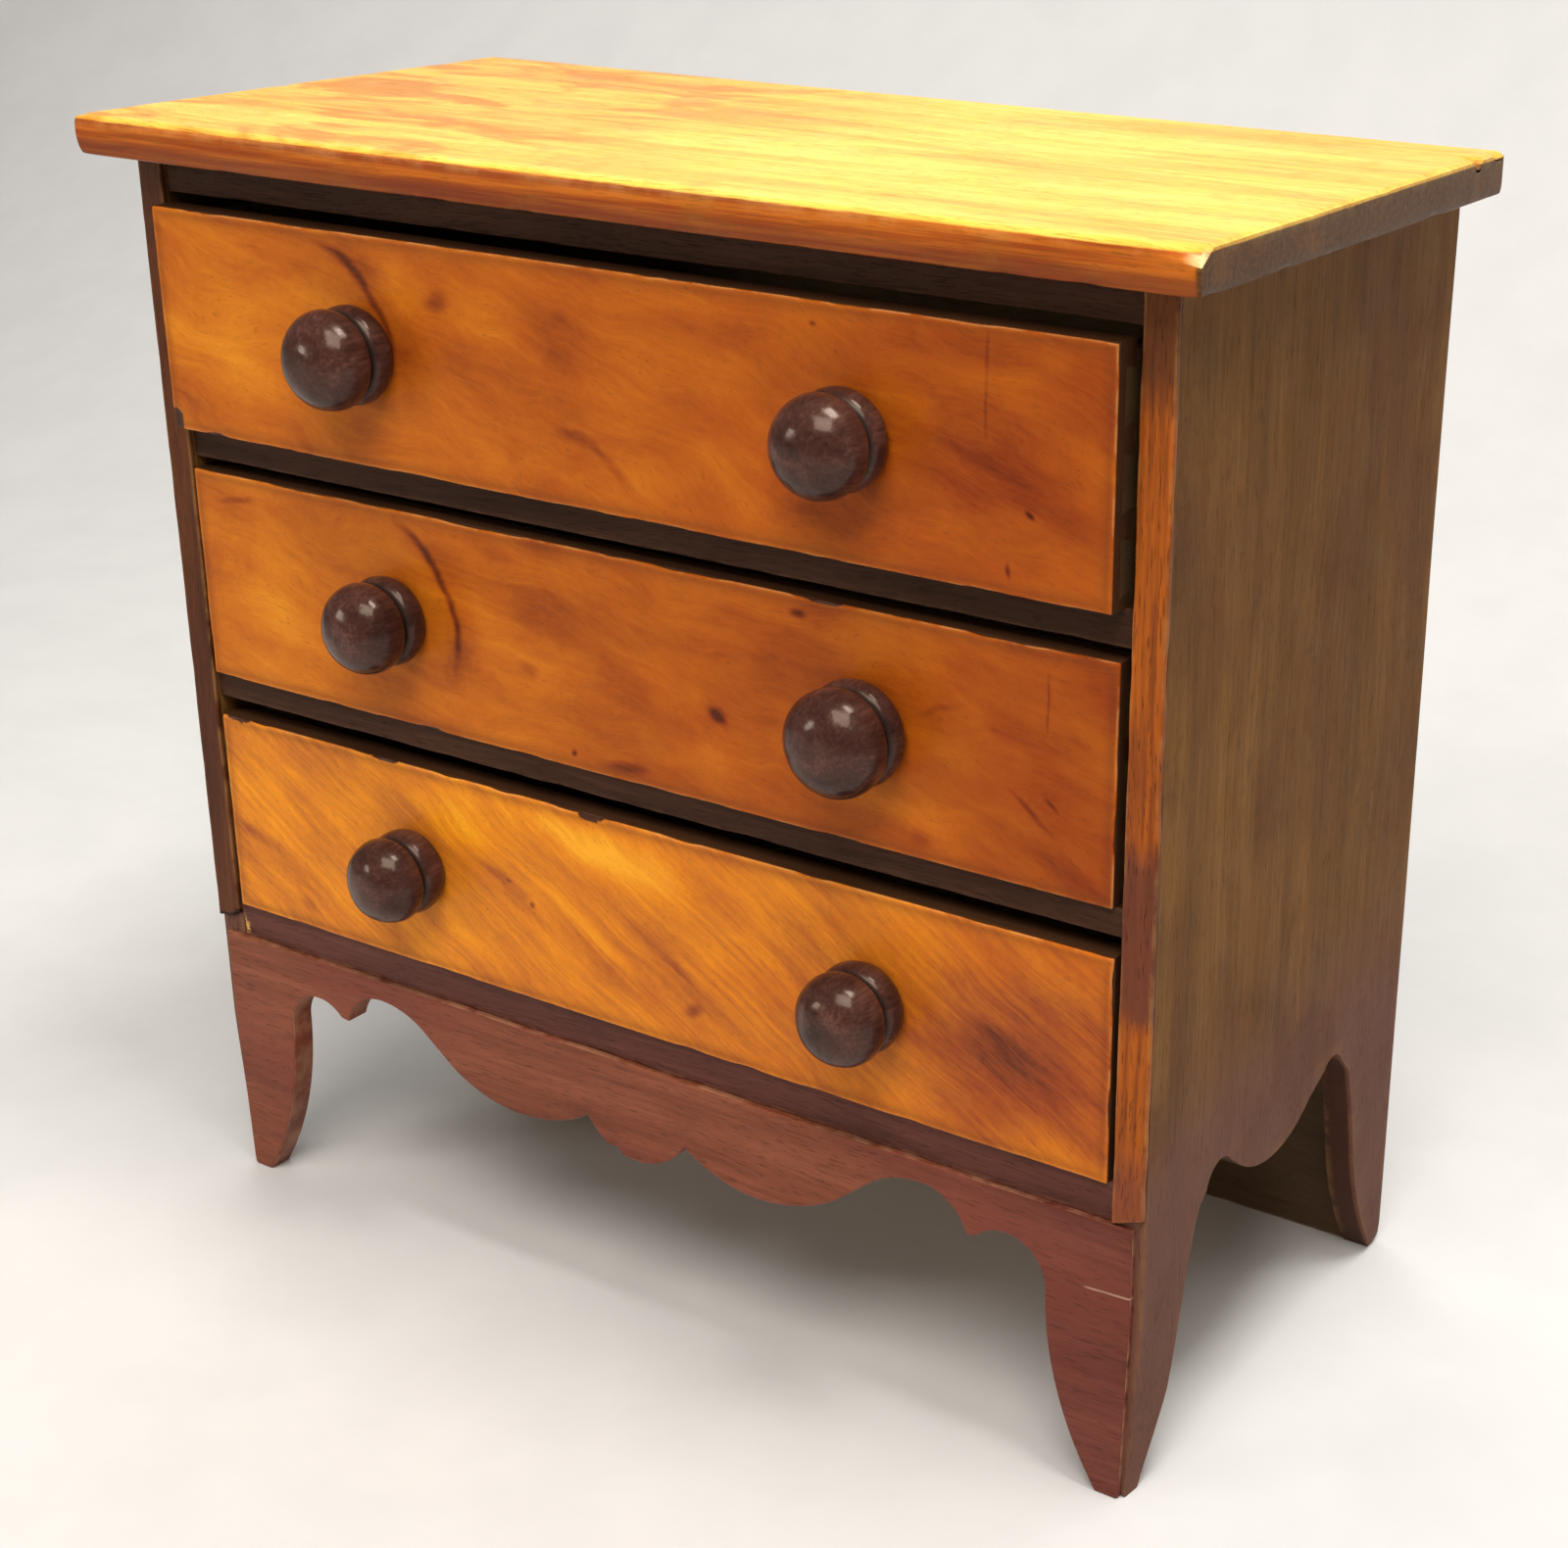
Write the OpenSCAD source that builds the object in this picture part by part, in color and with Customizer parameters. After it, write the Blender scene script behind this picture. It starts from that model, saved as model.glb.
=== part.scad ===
// Miniature three-drawer chest on shaped bracket feet.
// X runs left to right, Y front to back, Z up. The origin is on the floor, at the middle of
// the whole object's footprint, knobs included.

/* [Case] */
// Width across the outer faces of the sides
case_w = 282; // [260:1:300]
// Depth from the plane of the drawer fronts to the back
case_d = 134; // [128:1:150]
// Thickness of each side board
side_t = 7.8; // [6.5:0.1:9]
// Thickness of the facing strip on the front edge of each side
stile_t = 1.5; // [1:0.1:2]
// Thickness of the back panel
back_t = 4; // [3:0.5:5]
// Thickness of the bottom board
bottom_t = 6; // [4:0.5:7]

/* [Top] */
// Thickness of the top board
top_t = 9.5; // [8:0.5:12]
// Overhang of the top past each side
over_side = 10; // [6:0.5:16]
// Overhang of the top past the drawer fronts
over_front = 10; // [6:0.5:16]
// Radius of the rounded upper edge of the top
edge_round = 2; // [0.5:0.1:3]
// How far the lower edge of the top stands back
edge_back = 1; // [0.1:0.1:2]

/* [Drawers] */
// Height of each drawer front
drawer_h = 53.7; // [50:0.1:56]
// Clearance above the front of the top drawer
gap_top = 2.6; // [1:0.1:3.5]
// Clearance above the front of the middle drawer
gap_middle = 2.9; // [1:0.1:4.5]
// Clearance above the front of the bottom drawer
gap_bottom = 4.6; // [1:0.1:5]
// Clearance beside a drawer when it sits centred
gap_beside = 1.5; // [1:0.1:2.5]
// Sideways place of the two upper drawers, worn towards the left
drawer_shift = -0.8; // [-0.9:0.1:0.9]
// How far the top drawer stands out
top_out = 4.5; // [0:0.5:10]
// Length of a drawer from front to back
drawer_len = 122; // [100:1:122]
// Thickness of the drawer sides
drawer_side_t = 4.5; // [4:0.1:6]
// Thickness of the drawer fronts without their veneer
front_t = 6.4; // [6:0.1:8]
// Thickness of the show veneer
veneer_t = 0.8; // [0.5:0.1:1.2]
// Dovetails at each front corner of a drawer
tails = 3; // [2:1:4]

/* [Rails] */
// Height of one drawer with the rail above it
pitch = 64.9; // [64:0.1:66]
// Depth of the rails from front to back
rail_d = 22; // [16:1:30]
// Depth of the housings that hold the rails in the sides
housing = 3; // [2:0.5:4]
// Width of the drawer runners and of the kickers
runner_w = 10; // [7:0.5:14]

/* [Base] */
// Height of the apron board, feet included
apron_h = 70.6; // [66:0.1:73]
// Thickness of the apron board
apron_t = 7; // [5:0.5:8]
// Height of the top of the bottom rail above the floor
base_h = 80.3; // [80:0.1:84]
// How far the ends of the apron stop short of the outer faces of the sides
apron_short = 2.4; // [1.8:0.1:4]
// How far the front toes taper in from the outer faces of the sides at the floor
toe_taper = 2.8; // [0.5:0.1:3.4]

/* [Knobs] */
// Distance between the two knobs of a drawer
knob_spacing = 136; // [110:1:160]
// How far the pair of knobs stands right of the middle
knob_shift = 1.6; // [0:0.1:4]
// Length of a knob in front of its drawer
knob_len = 19; // [15:0.5:22]
// Diameter of the spigot that passes through the drawer front
spigot_d = 7; // [5:0.5:9]

/* [Hidden] */
$fn = 64;

MAHOGANY = [0.52, 0.24, 0.10];
DARK_MAHOGANY = [0.36, 0.17, 0.09];
FLAME_VENEER = [0.80, 0.44, 0.14];
PALE_WOOD = [0.78, 0.60, 0.38];
KNOB_WOOD = [0.24, 0.13, 0.09];
IRON = [0.35, 0.33, 0.31];

half_w = case_w / 2;
inner_w = case_w - 2 * side_t;
case_top = base_h + 3 * pitch;
inner_d = case_d - back_t;
rail_back = stile_t + rail_d;

// Level 0 is the top drawer, level 2 the bottom one. The rail of a level is the one over it.
GAPS = [gap_top, gap_middle, gap_bottom];
function floor_of(level) = base_h + (2 - level) * pitch;
function rail_t(level) = pitch - drawer_h - GAPS[level];
function rail_z(level) = floor_of(level) + drawer_h + GAPS[level];
function out_of(level) = level == 0 ? top_out : 0;
function shift_of(level) = level == 2 ? 0 : drawer_shift;

drawer_w = inner_w - 2 * gap_beside;
face_t = front_t + veneer_t;
drawer_side_h = drawer_h - 2.4;
groove_d = 2;
panel_t = 2.5;
panel_z = 4;
dado_d = 1.5;
drawer_back_t = 4;
drawer_back_top = drawer_h - 6;
drawer_back_y = drawer_len - 2 - drawer_back_t;
tail_len = face_t - 3.2;
tail_slope = 0.2;

function knob_x(side) = knob_shift + side * knob_spacing / 2;

// The knobs were turned by eye, so each has its own diameter: [left, right] from the top down
KNOB_D = [[23.4, 22.4], [22.4, 24.6], [21.8, 22.2]];
KNOB_STEPS = 14;
knob_clear = 0.05;

stop_size = [16, 6, 2.2];
stop_x = 60;
stop_clear = 0.2;
brad_r = 0.9;
brad_len = 7;
block_w = 8;
back_rebate = 3.5;

// The taper of the front toes dies out at this height, and this far back at the floor
toe_z = 45;
toe_y = 28;

// The footprint runs from the front of the top drawer's knobs to the back
mid_y = (case_d - top_out - knob_len) / 2;

// Base outlines are drawn for these sizes and scaled to the case
drawn_w = 282;
drawn_h = 70.6;
drawn_d = 134;

// Points on an arc about c, from angle a0 to a1
function arc(c, r, a0, a1, n = 10) =
    [for (i = [0:n]) let (a = a0 + (a1 - a0) * i / n) [c[0] + r * cos(a), c[1] + r * sin(a)]];

// Half of the apron's lower edge, from the middle out to the toe of the foot
function apron_half() = concat(
    arc([0, 61.4], 17.5, -90, -31, 6),
    arc([37.3, 85.6], 40, -123, -56, 12),
    arc([83.4, 42], 23, 127, 90, 5),
    arc([83.4, 52], 13, 90, 16, 7),
    arc([106.2, 48.8], 10.6, 138, 0, 12),
    arc([206.8, 48.8], 90, 180, 180 + asin(48.8 / 90), 12)
);

// Lower edge of a side board, from the front toe to the back toe, as [y, z]
function side_edge() = concat(
    arc([-175.5, 83.3], 200, -asin(83.3 / 200), -12.5, 8),
    [[22, 50], [25.3, 61], [27.4, 65]],
    arc([36.5, 65.4], 6.6, 168, 32, 8),
    arc([64.6, 89.7], 30.1, -133, -52, 14),
    arc([95.8, 65.8], 6.2, 140, 28, 7),
    [[106.2, 63.6], [110.8, 46.5]],
    arc([196.2, 53.1], 85, 193.7, 180 + asin(53.1 / 85), 9)
);

// End of the apron, from its top down to the toe, as [x, z]
apron_end = [[half_w - apron_short, apron_h], [half_w - apron_short, toe_z],
             [half_w - apron_short - 0.45 * toe_taper, 0]];

module seat() {
    translate([0, -mid_y, 0]) children();
}

// A block given by its low corner and its high corner
module block(lo, hi) {
    translate(lo) cube(hi - lo);
}

// Extrudes an outline drawn in the XZ plane from y0 to y1
module along_y(y0, y1) {
    translate([0, y1, 0]) rotate([90, 0, 0]) linear_extrude(y1 - y0) children();
}

// Extrudes an outline drawn in the YZ plane from x0 to x1
module along_x(x0, x1) {
    translate([x0, 0, 0]) rotate([90, 0, 90]) linear_extrude(x1 - x0) children();
}

// Draws a left-hand piece as the mirror image of the right-hand one
module hand(side) {
    if (side < 0) mirror([1, 0, 0]) children();
    else children();
}

// ---- Top ----

// Edge of the top, from its upper to its lower face, where it reaches out as far as u
function edge_line(u) = let (z = case_top + top_t) concat(
    arc([u - edge_round, z - edge_round], edge_round, 90, 0, 8),
    arc([u - 6 * edge_back, case_top + 0.45 * top_t], 6 * edge_back, 0, -10, 2),
    [[u - edge_back, case_top]]
);

module top_board() {
    ends = edge_line(half_w + over_side);
    left = [for (i = [len(ends) - 1:-1:0]) [-ends[i][0], ends[i][1]]];
    front = concat([for (p = edge_line(over_front)) [-p[0], p[1]]],
                   [[case_d, case_top], [case_d, case_top + top_t]]);
    color(FLAME_VENEER) seat() intersection() {
        along_y(-over_front - 1, case_d) polygon(concat(left, ends));
        along_x(-half_w - over_side - 1, half_w + over_side + 1) polygon(front);
    }
}

// ---- Case ----

module side_board(side) {
    edge = [for (p = side_edge()) [p[0] * case_d / drawn_d, p[1] * apron_h / drawn_h]];
    outline = concat([[stile_t, 0]], edge, [[case_d, 0], [case_d, case_top],
                     [stile_t, case_top]]);
    color(DARK_MAHOGANY) seat() hand(side) difference() {
        along_x(half_w - side_t, half_w) polygon(outline);
        along_y(0, apron_t)
            polygon(concat(apron_end, [[half_w - side_t - 1, 0], [half_w - side_t - 1, apron_h]]));
        toe_wedge();
        for (level = [0:2])
            housing_cut(rail_z(level), rail_z(level) + rail_t(level));
        housing_cut(apron_h, base_h);
        block([inner_w / 2 - 1, inner_d, -1],
              [inner_w / 2 + back_rebate, case_d + 1, case_top + 1]);
    }
}

// What the taper takes off the outer face of the right-hand front toe: all beyond a plane
// through the worn toe, the face at toe_z and the face at toe_y
module toe_wedge() {
    run = toe_y - stile_t;
    slant = asin(run * toe_taper / norm([run * toe_z, toe_taper * toe_z, run * toe_taper]));
    translate([half_w - toe_taper, stile_t, 0]) rotate([0, slant, atan2(-toe_taper, run)])
        translate([0, -60, -20]) cube([20, 120, 120]);
}

module housing_cut(z0, z1) {
    block([inner_w / 2 - 1, 0, z0], [inner_w / 2 + housing, rail_back, z1]);
}

module stile(side) {
    color(MAHOGANY) seat() hand(side)
        block([half_w - side_t, 0, apron_h], [half_w, stile_t, case_top]);
}

module rail(z0, z1) {
    reach = inner_w / 2 + housing;
    color(DARK_MAHOGANY) seat() block([-reach, stile_t, z0], [reach, rail_back, z1]);
}

// The rail over a drawer
module rail_over(level) {
    rail(rail_z(level), rail_z(level) + rail_t(level));
}

// A strip behind the end of a rail: a runner for the drawer above it, or a kicker
module runner(level, side) {
    z = rail_z(level);
    color(PALE_WOOD) seat() hand(side)
        block([inner_w / 2 - runner_w, rail_back, z], [inner_w / 2, inner_d, z + rail_t(level)]);
}

module bottom_board() {
    color(PALE_WOOD) seat()
        block([-inner_w / 2, rail_back, base_h - bottom_t], [inner_w / 2, inner_d, base_h]);
}

module back_panel() {
    reach = inner_w / 2 + back_rebate;
    color(PALE_WOOD) seat() block([-reach, inner_d, 0], [reach, case_d, case_top]);
}

module back_brads() {
    x_edge = inner_w / 2 + back_rebate / 2;
    rows = 5;
    color(IRON) seat() {
        for (side = [-1, 1], i = [0:rows - 1]) {
            z = base_h + 10 + i * (case_top - base_h - 20) / (rows - 1);
            brad(side * x_edge, z);
        }
        for (x = [-90, -30, 30, 90]) brad(x, base_h - bottom_t / 2);
    }
}

module brad(x, z) {
    translate([x, case_d, z]) rotate([90, 0, 0]) cylinder(r = brad_r, h = brad_len);
}

module drawer_stops() {
    color(PALE_WOOD) seat() for (level = [0:2], side = [-1, 1])
        translate([side * stop_x - stop_size[0] / 2, face_t + stop_clear, floor_of(level)])
            cube(stop_size);
}

// ---- Base ----

module apron_board() {
    lower = [for (p = apron_half()) [p[0] * case_w / drawn_w, p[1] * apron_h / drawn_h]];
    right = concat(lower, [for (i = [2:-1:0]) apron_end[i]]);
    left = [for (i = [len(right) - 1:-1:0]) [-right[i][0], right[i][1]]];
    color(MAHOGANY) seat() along_y(0, apron_t) polygon(concat(right, left));
}

module glue_block(side) {
    x1 = inner_w / 2;
    color(PALE_WOOD) seat() hand(side) along_z(26, apron_h - 2)
        polygon([[x1 - block_w, apron_t], [x1, apron_t], [x1, apron_t + block_w]]);
}

module along_z(z0, z1) {
    translate([0, 0, z0]) linear_extrude(z1 - z0) children();
}

// ---- Drawers ----

module at_drawer(level) {
    seat() translate([shift_of(level), -out_of(level), floor_of(level)]) children();
}

// The dovetails of the right-hand side board, seen from the side
module tail_shapes() {
    step = drawer_side_h / tails;
    wide = 0.7 * step;
    for (i = [0:tails - 1]) {
        z = (i + 0.5) * step;
        y0 = face_t - tail_len;
        lip = tail_slope * tail_len;
        polygon([[y0, z - wide / 2], [face_t, z - wide / 2 + lip],
                 [face_t, z + wide / 2 - lip], [y0, z + wide / 2]]);
    }
}

module bottom_panel_shape(y1) {
    reach = drawer_w / 2 - drawer_side_t + groove_d;
    block([-reach, face_t - groove_d, panel_z], [reach, y1, panel_z + panel_t]);
}

module drawer_front(level) {
    color(MAHOGANY) at_drawer(level) difference() {
        block([-drawer_w / 2, veneer_t, 0], [drawer_w / 2, face_t, drawer_h]);
        for (side = [-1, 1]) hand(side)
            along_x(drawer_w / 2 - drawer_side_t, drawer_w / 2 + 1) tail_shapes();
        bottom_panel_shape(face_t + 1);
        spigot_holes();
    }
}

module drawer_veneer(level) {
    color(FLAME_VENEER) at_drawer(level) difference() {
        block([-drawer_w / 2, 0, 0], [drawer_w / 2, veneer_t, drawer_h]);
        spigot_holes();
    }
}

module spigot_holes() {
    for (side = [-1, 1])
        translate([knob_x(side), face_t + 1, drawer_h / 2]) rotate([90, 0, 0])
            cylinder(d = spigot_d + 2 * knob_clear, h = face_t + 2);
}

module drawer_side(level, side) {
    x0 = drawer_w / 2 - drawer_side_t;
    color(PALE_WOOD) at_drawer(level) hand(side) difference() {
        along_x(x0, drawer_w / 2) {
            tail_shapes();
            translate([face_t, 0]) square([drawer_len - face_t, drawer_side_h]);
        }
        block([x0 - 1, 0, panel_z], [x0 + groove_d, drawer_len + 1, panel_z + panel_t]);
        block([x0 - 1, drawer_back_y, panel_z + panel_t],
              [x0 + dado_d, drawer_back_y + drawer_back_t, drawer_back_top]);
    }
}

module drawer_back(level) {
    reach = drawer_w / 2 - drawer_side_t + dado_d;
    color(PALE_WOOD) at_drawer(level)
        block([-reach, drawer_back_y, panel_z + panel_t],
              [reach, drawer_back_y + drawer_back_t, drawer_back_top]);
}

module drawer_bottom(level) {
    color(PALE_WOOD) at_drawer(level) bottom_panel_shape(drawer_len);
}

// Half section of a knob, as [radius, distance in front of the drawer]
function knob_section(r) = let (
    bead_r = 0.95 * r,
    bead_h = knob_len / 6,
    neck_r = 0.8 * r,
    dome_h = 0.54 * knob_len
) concat(
    [[0, -face_t], [spigot_d / 2, -face_t], [spigot_d / 2, 0]],
    [for (i = [0:KNOB_STEPS]) let (a = -90 + 180 * i / KNOB_STEPS)
        [neck_r + (bead_r - neck_r) * cos(a), bead_h * (1 + sin(a))]],
    [for (i = [0:KNOB_STEPS / 2]) let (a = 90 * i / (KNOB_STEPS / 2))
        [neck_r + (r - neck_r) * sin(a), dome_h - (dome_h - 2.1 * bead_h) * cos(a)]],
    [for (i = [1:KNOB_STEPS]) let (a = 90 * i / KNOB_STEPS)
        [r * cos(a), dome_h + (knob_len - dome_h) * sin(a)]]
);

module knob(level, side) {
    r = KNOB_D[level][side < 0 ? 0 : 1] / 2;
    color(KNOB_WOOD) at_drawer(level)
        translate([knob_x(side), 0, drawer_h / 2]) rotate([90, 0, 0])
            rotate_extrude() polygon(knob_section(r));
}

// ---- Nodes ----

top_board();
side_board(-1);  // side_left
side_board(1);  // side_right
stile(-1);  // stile_left
stile(1);  // stile_right
rail_over(0);  // top_rail
rail_over(1);  // divider_upper
rail_over(2);  // divider_lower
rail(apron_h, base_h);  // bottom_rail
apron_board();
glue_block(-1);  // glue_block_left
glue_block(1);  // glue_block_right
bottom_board();
back_panel();
back_brads();
drawer_stops();
runner(1, -1);  // runner_upper_left
runner(1, 1);  // runner_upper_right
runner(2, -1);  // runner_lower_left
runner(2, 1);  // runner_lower_right
runner(0, -1);  // kicker_left
runner(0, 1);  // kicker_right
drawer_front(0);  // drawer_top_front
drawer_veneer(0);  // drawer_top_veneer
drawer_side(0, -1);  // drawer_top_side_left
drawer_side(0, 1);  // drawer_top_side_right
drawer_back(0);  // drawer_top_back
drawer_bottom(0);  // drawer_top_bottom
knob(0, -1);  // drawer_top_knob_left
knob(0, 1);  // drawer_top_knob_right
drawer_front(1);  // drawer_middle_front
drawer_veneer(1);  // drawer_middle_veneer
drawer_side(1, -1);  // drawer_middle_side_left
drawer_side(1, 1);  // drawer_middle_side_right
drawer_back(1);  // drawer_middle_back
drawer_bottom(1);  // drawer_middle_bottom
knob(1, -1);  // drawer_middle_knob_left
knob(1, 1);  // drawer_middle_knob_right
drawer_front(2);  // drawer_bottom_front
drawer_veneer(2);  // drawer_bottom_veneer
drawer_side(2, -1);  // drawer_bottom_side_left
drawer_side(2, 1);  // drawer_bottom_side_right
drawer_back(2);  // drawer_bottom_back
drawer_bottom(2);  // drawer_bottom_bottom
knob(2, -1);  // drawer_bottom_knob_left
knob(2, 1);  // drawer_bottom_knob_right
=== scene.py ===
"""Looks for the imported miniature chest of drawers: worn mahogany pieces, turned knobs, light and camera."""

import functools
import math

import bmesh
import bpy
import numpy as np
from mathutils import Matrix, Vector


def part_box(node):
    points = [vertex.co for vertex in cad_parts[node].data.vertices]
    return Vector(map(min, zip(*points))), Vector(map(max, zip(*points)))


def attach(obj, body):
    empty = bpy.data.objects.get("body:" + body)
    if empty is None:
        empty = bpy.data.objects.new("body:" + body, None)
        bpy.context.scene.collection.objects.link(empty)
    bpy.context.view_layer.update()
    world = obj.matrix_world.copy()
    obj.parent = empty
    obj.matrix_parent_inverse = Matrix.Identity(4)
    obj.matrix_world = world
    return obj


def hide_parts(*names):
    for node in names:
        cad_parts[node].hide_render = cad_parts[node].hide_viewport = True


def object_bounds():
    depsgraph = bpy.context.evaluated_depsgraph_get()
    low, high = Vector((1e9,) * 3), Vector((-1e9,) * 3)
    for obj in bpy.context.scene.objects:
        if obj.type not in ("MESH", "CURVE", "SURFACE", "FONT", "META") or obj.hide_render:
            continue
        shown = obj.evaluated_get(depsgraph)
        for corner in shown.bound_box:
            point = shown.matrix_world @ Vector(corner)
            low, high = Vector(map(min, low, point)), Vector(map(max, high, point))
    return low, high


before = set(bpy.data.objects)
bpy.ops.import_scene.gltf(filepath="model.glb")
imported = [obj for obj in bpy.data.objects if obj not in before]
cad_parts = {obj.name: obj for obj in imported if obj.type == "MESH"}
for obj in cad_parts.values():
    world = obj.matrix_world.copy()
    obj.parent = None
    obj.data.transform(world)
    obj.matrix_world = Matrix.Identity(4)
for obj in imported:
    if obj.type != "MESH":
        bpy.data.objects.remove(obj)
CAD_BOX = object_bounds()
MM = 0.001
X, Y, Z = 0, 1, 2
ROWS = ("top", "middle", "bottom")
EASE = 0.5  # how far the sawn boards' arrises are eased, in mm


# ---- numbers and noise

def mm_box(node):
    """A CAD node's box in millimetres, as two arrays."""
    lo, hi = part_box(node)
    return np.array(lo) / MM, np.array(hi) / MM


def mid_y():
    """Where the drawer fronts' plane lies in the row frame, in millimetres."""
    return mm_box("stile_left")[0][1]


def lattice(ix, iy, iz, seed):
    """A repeatable number from -1 to 1 for each whole-number point."""
    h = (ix * 374761393 + iy * 668265263 + iz * 2147483647 + seed * 974711) & 0xFFFFFFFF
    h = ((h ^ (h >> 13)) * 1274126177) & 0xFFFFFFFF
    h = ((h ^ (h >> 16)) * 2246822519) & 0xFFFFFFFF
    return ((h ^ (h >> 15)) & 0xFFFF) / 32767.5 - 1.0


def wander(points, size, seed):
    """Smooth noise from -1 to 1 at each point, with features of about that size."""
    p = np.asarray(points, float) / size
    i = np.floor(p).astype(np.int64)
    f = p - i
    u = f * f * (3 - 2 * f)
    total = 0
    for dx in (0, 1):
        for dy in (0, 1):
            for dz in (0, 1):
                w = (u[:, 0] if dx else 1 - u[:, 0]) * (u[:, 1] if dy else 1 - u[:, 1]) \
                    * (u[:, 2] if dz else 1 - u[:, 2])
                total = total + w * lattice(i[:, 0] + dx, i[:, 1] + dy, i[:, 2] + dz, seed)
    return total


def unit(x):
    return np.clip(x, 0, 1)


def smooth(x):
    x = unit(x)
    return x * x * (3 - 2 * x)


# ---- meshes

def new_mesh(name, points, faces, material):
    """An object in the scene, smooth shaded, from points in metres."""
    mesh = bpy.data.meshes.new(name)
    mesh.from_pydata([tuple(p) for p in points], [], [tuple(map(int, f)) for f in faces])
    mesh.validate()
    for poly in mesh.polygons:
        poly.use_smooth = True
    mesh.materials.append(material)
    obj = bpy.data.objects.new(name, mesh)
    bpy.context.scene.collection.objects.link(obj)
    return obj


def finish_mesh(node, suffix, points, faces, body, material, attrs, sharp=40):
    """Makes a piece from points in millimetres, rides it on its body and hides the CAD node."""
    obj = new_mesh(node + suffix, np.asarray(points) * MM, faces, material)
    for key, values in attrs.items():
        layer = obj.data.attributes.new(key, "FLOAT", "POINT")
        layer.data.foreach_set("value", np.asarray(values, np.float32))
    obj.data.set_sharp_from_angle(angle=math.radians(sharp))
    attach(obj, body)
    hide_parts(node)
    return obj


def cuts(lo, hi, r, cell):
    """Grid lines from lo to hi, close together at both ends so that an edge can be rounded."""
    steps = [r * (1 - math.tan(math.radians(a))) for a in (45, 30, 15, 0)]
    steps += [r + d for d in (0.6, 1.6, 3.5) if r + d < (hi - lo) / 2 - 0.5]
    steps = [s for s in steps if s < (hi - lo) / 2]
    first, last = lo + steps[-1], hi - steps[-1]
    n = max(1, int(math.ceil((last - first) / cell)))
    middle = list(np.linspace(first, last, n + 1))
    return np.array([lo + s for s in steps[:-1]] + middle + [hi - s for s in reversed(steps[:-1])])


def board(lo, hi, r, cell, holes=()):
    """A board with rounded edges as points, faces and each point's closeness to an edge.

    Holes are (x, z, radius) through the thickness along Y."""
    lo, hi = np.array(lo, float), np.array(hi, float)
    grid = [cuts(lo[a], hi[a], min(r, (hi[a] - lo[a]) / 2.01), cell) for a in range(3)]
    index, points, faces = {}, [], []

    def vert(key):
        if key not in index:
            index[key] = len(points)
            points.append([grid[a][key[a]] for a in range(3)])
        return index[key]

    def in_hole(i, k):
        x = (grid[0][i] + grid[0][i + 1]) / 2
        z = (grid[2][k] + grid[2][k + 1]) / 2
        return any((x - h[0]) ** 2 + (z - h[1]) ** 2 < h[2] ** 2 for h in holes)

    for a in range(3):
        u, v = (a + 1) % 3, (a + 2) % 3
        for side in (0, len(grid[a]) - 1):
            for i in range(len(grid[u]) - 1):
                for j in range(len(grid[v]) - 1):
                    if a == Y and in_hole(j, i):
                        continue
                    quad = []
                    for du, dv in ((0, 0), (1, 0), (1, 1), (0, 1)):
                        key = [0, 0, 0]
                        key[a], key[u], key[v] = side, i + du, j + dv
                        quad.append(vert(tuple(key)))
                    faces.append(quad if side else quad[::-1])
    n_y = len(grid[1]) - 1
    rim = set()
    for i in range(len(grid[0]) - 1):
        for k in range(len(grid[2]) - 1):
            if not in_hole(i, k):
                continue
            corners = ((i, k), (i + 1, k), (i + 1, k + 1), (i, k + 1))
            for n, (di, dk) in enumerate(((0, -1), (1, 0), (0, 1), (-1, 0))):
                if in_hole(i + di, k + dk):
                    continue
                (ia, ka), (ib, kb) = corners[n], corners[(n + 1) % 4]
                rim.update(((ia, ka), (ib, kb)))
                for y in range(n_y):
                    wall = ((ia, y, ka), (ib, y, kb), (ib, y + 1, kb), (ia, y + 1, ka))
                    faces.append([vert(key) for key in wall])
    for i, k in rim:
        h = min(holes, key=lambda c: (grid[0][i] - c[0]) ** 2 + (grid[2][k] - c[1]) ** 2)
        dx, dz = grid[0][i] - h[0], grid[2][k] - h[1]
        s = h[2] / math.hypot(dx, dz)
        for y in range(n_y + 1):
            p = points[vert((i, y, k))]
            p[0], p[2] = h[0] + dx * s, h[1] + dz * s
    points = np.array(points)
    d = np.sort(np.minimum(points - lo, hi - points), axis=1)
    edge = np.exp(-np.maximum(d[:, 1], 0) / 1.2)
    inner = np.clip(points, lo + r, hi - r)
    thin = (hi - lo) / 2 < r
    inner[:, thin] = ((lo + hi) / 2)[thin]
    out = points - inner
    length = np.linalg.norm(out, axis=1)
    limit = np.minimum(r, np.abs(out).max(axis=1))
    on = length > limit
    points[on] = inner[on] + out[on] / length[on, None] * limit[on, None]
    return points, faces, edge


def put_board(name, body, material, r, cell, lo=None, hi=None, holes=(), wear=0.3, seed=1, shape=None):
    """A worn board in the place of the CAD node of that name, or of the box given."""
    a, b = mm_box(name)
    lo = a if lo is None else np.array(lo, float)
    hi = b if hi is None else np.array(hi, float)
    points, faces, edge = board(lo, hi, r, cell, holes)
    dent = unit(wander(points, 9, seed) + 0.4 * wander(points, 3, seed + 1)) * edge * wear
    pull = points - np.clip(points, lo + 2.5, hi - 2.5)
    pull[:, (hi - lo) < 6] *= 0.35
    length = np.maximum(np.linalg.norm(pull, axis=1), 1e-6)
    points = points - pull / length[:, None] * dent[:, None]
    chip = np.zeros(len(points))
    if shape:
        points, chip = shape(points, lo, hi)
    return finish_mesh(name, "_worn", points, faces, body, material, {"edge": edge, "chip": chip})


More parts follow.
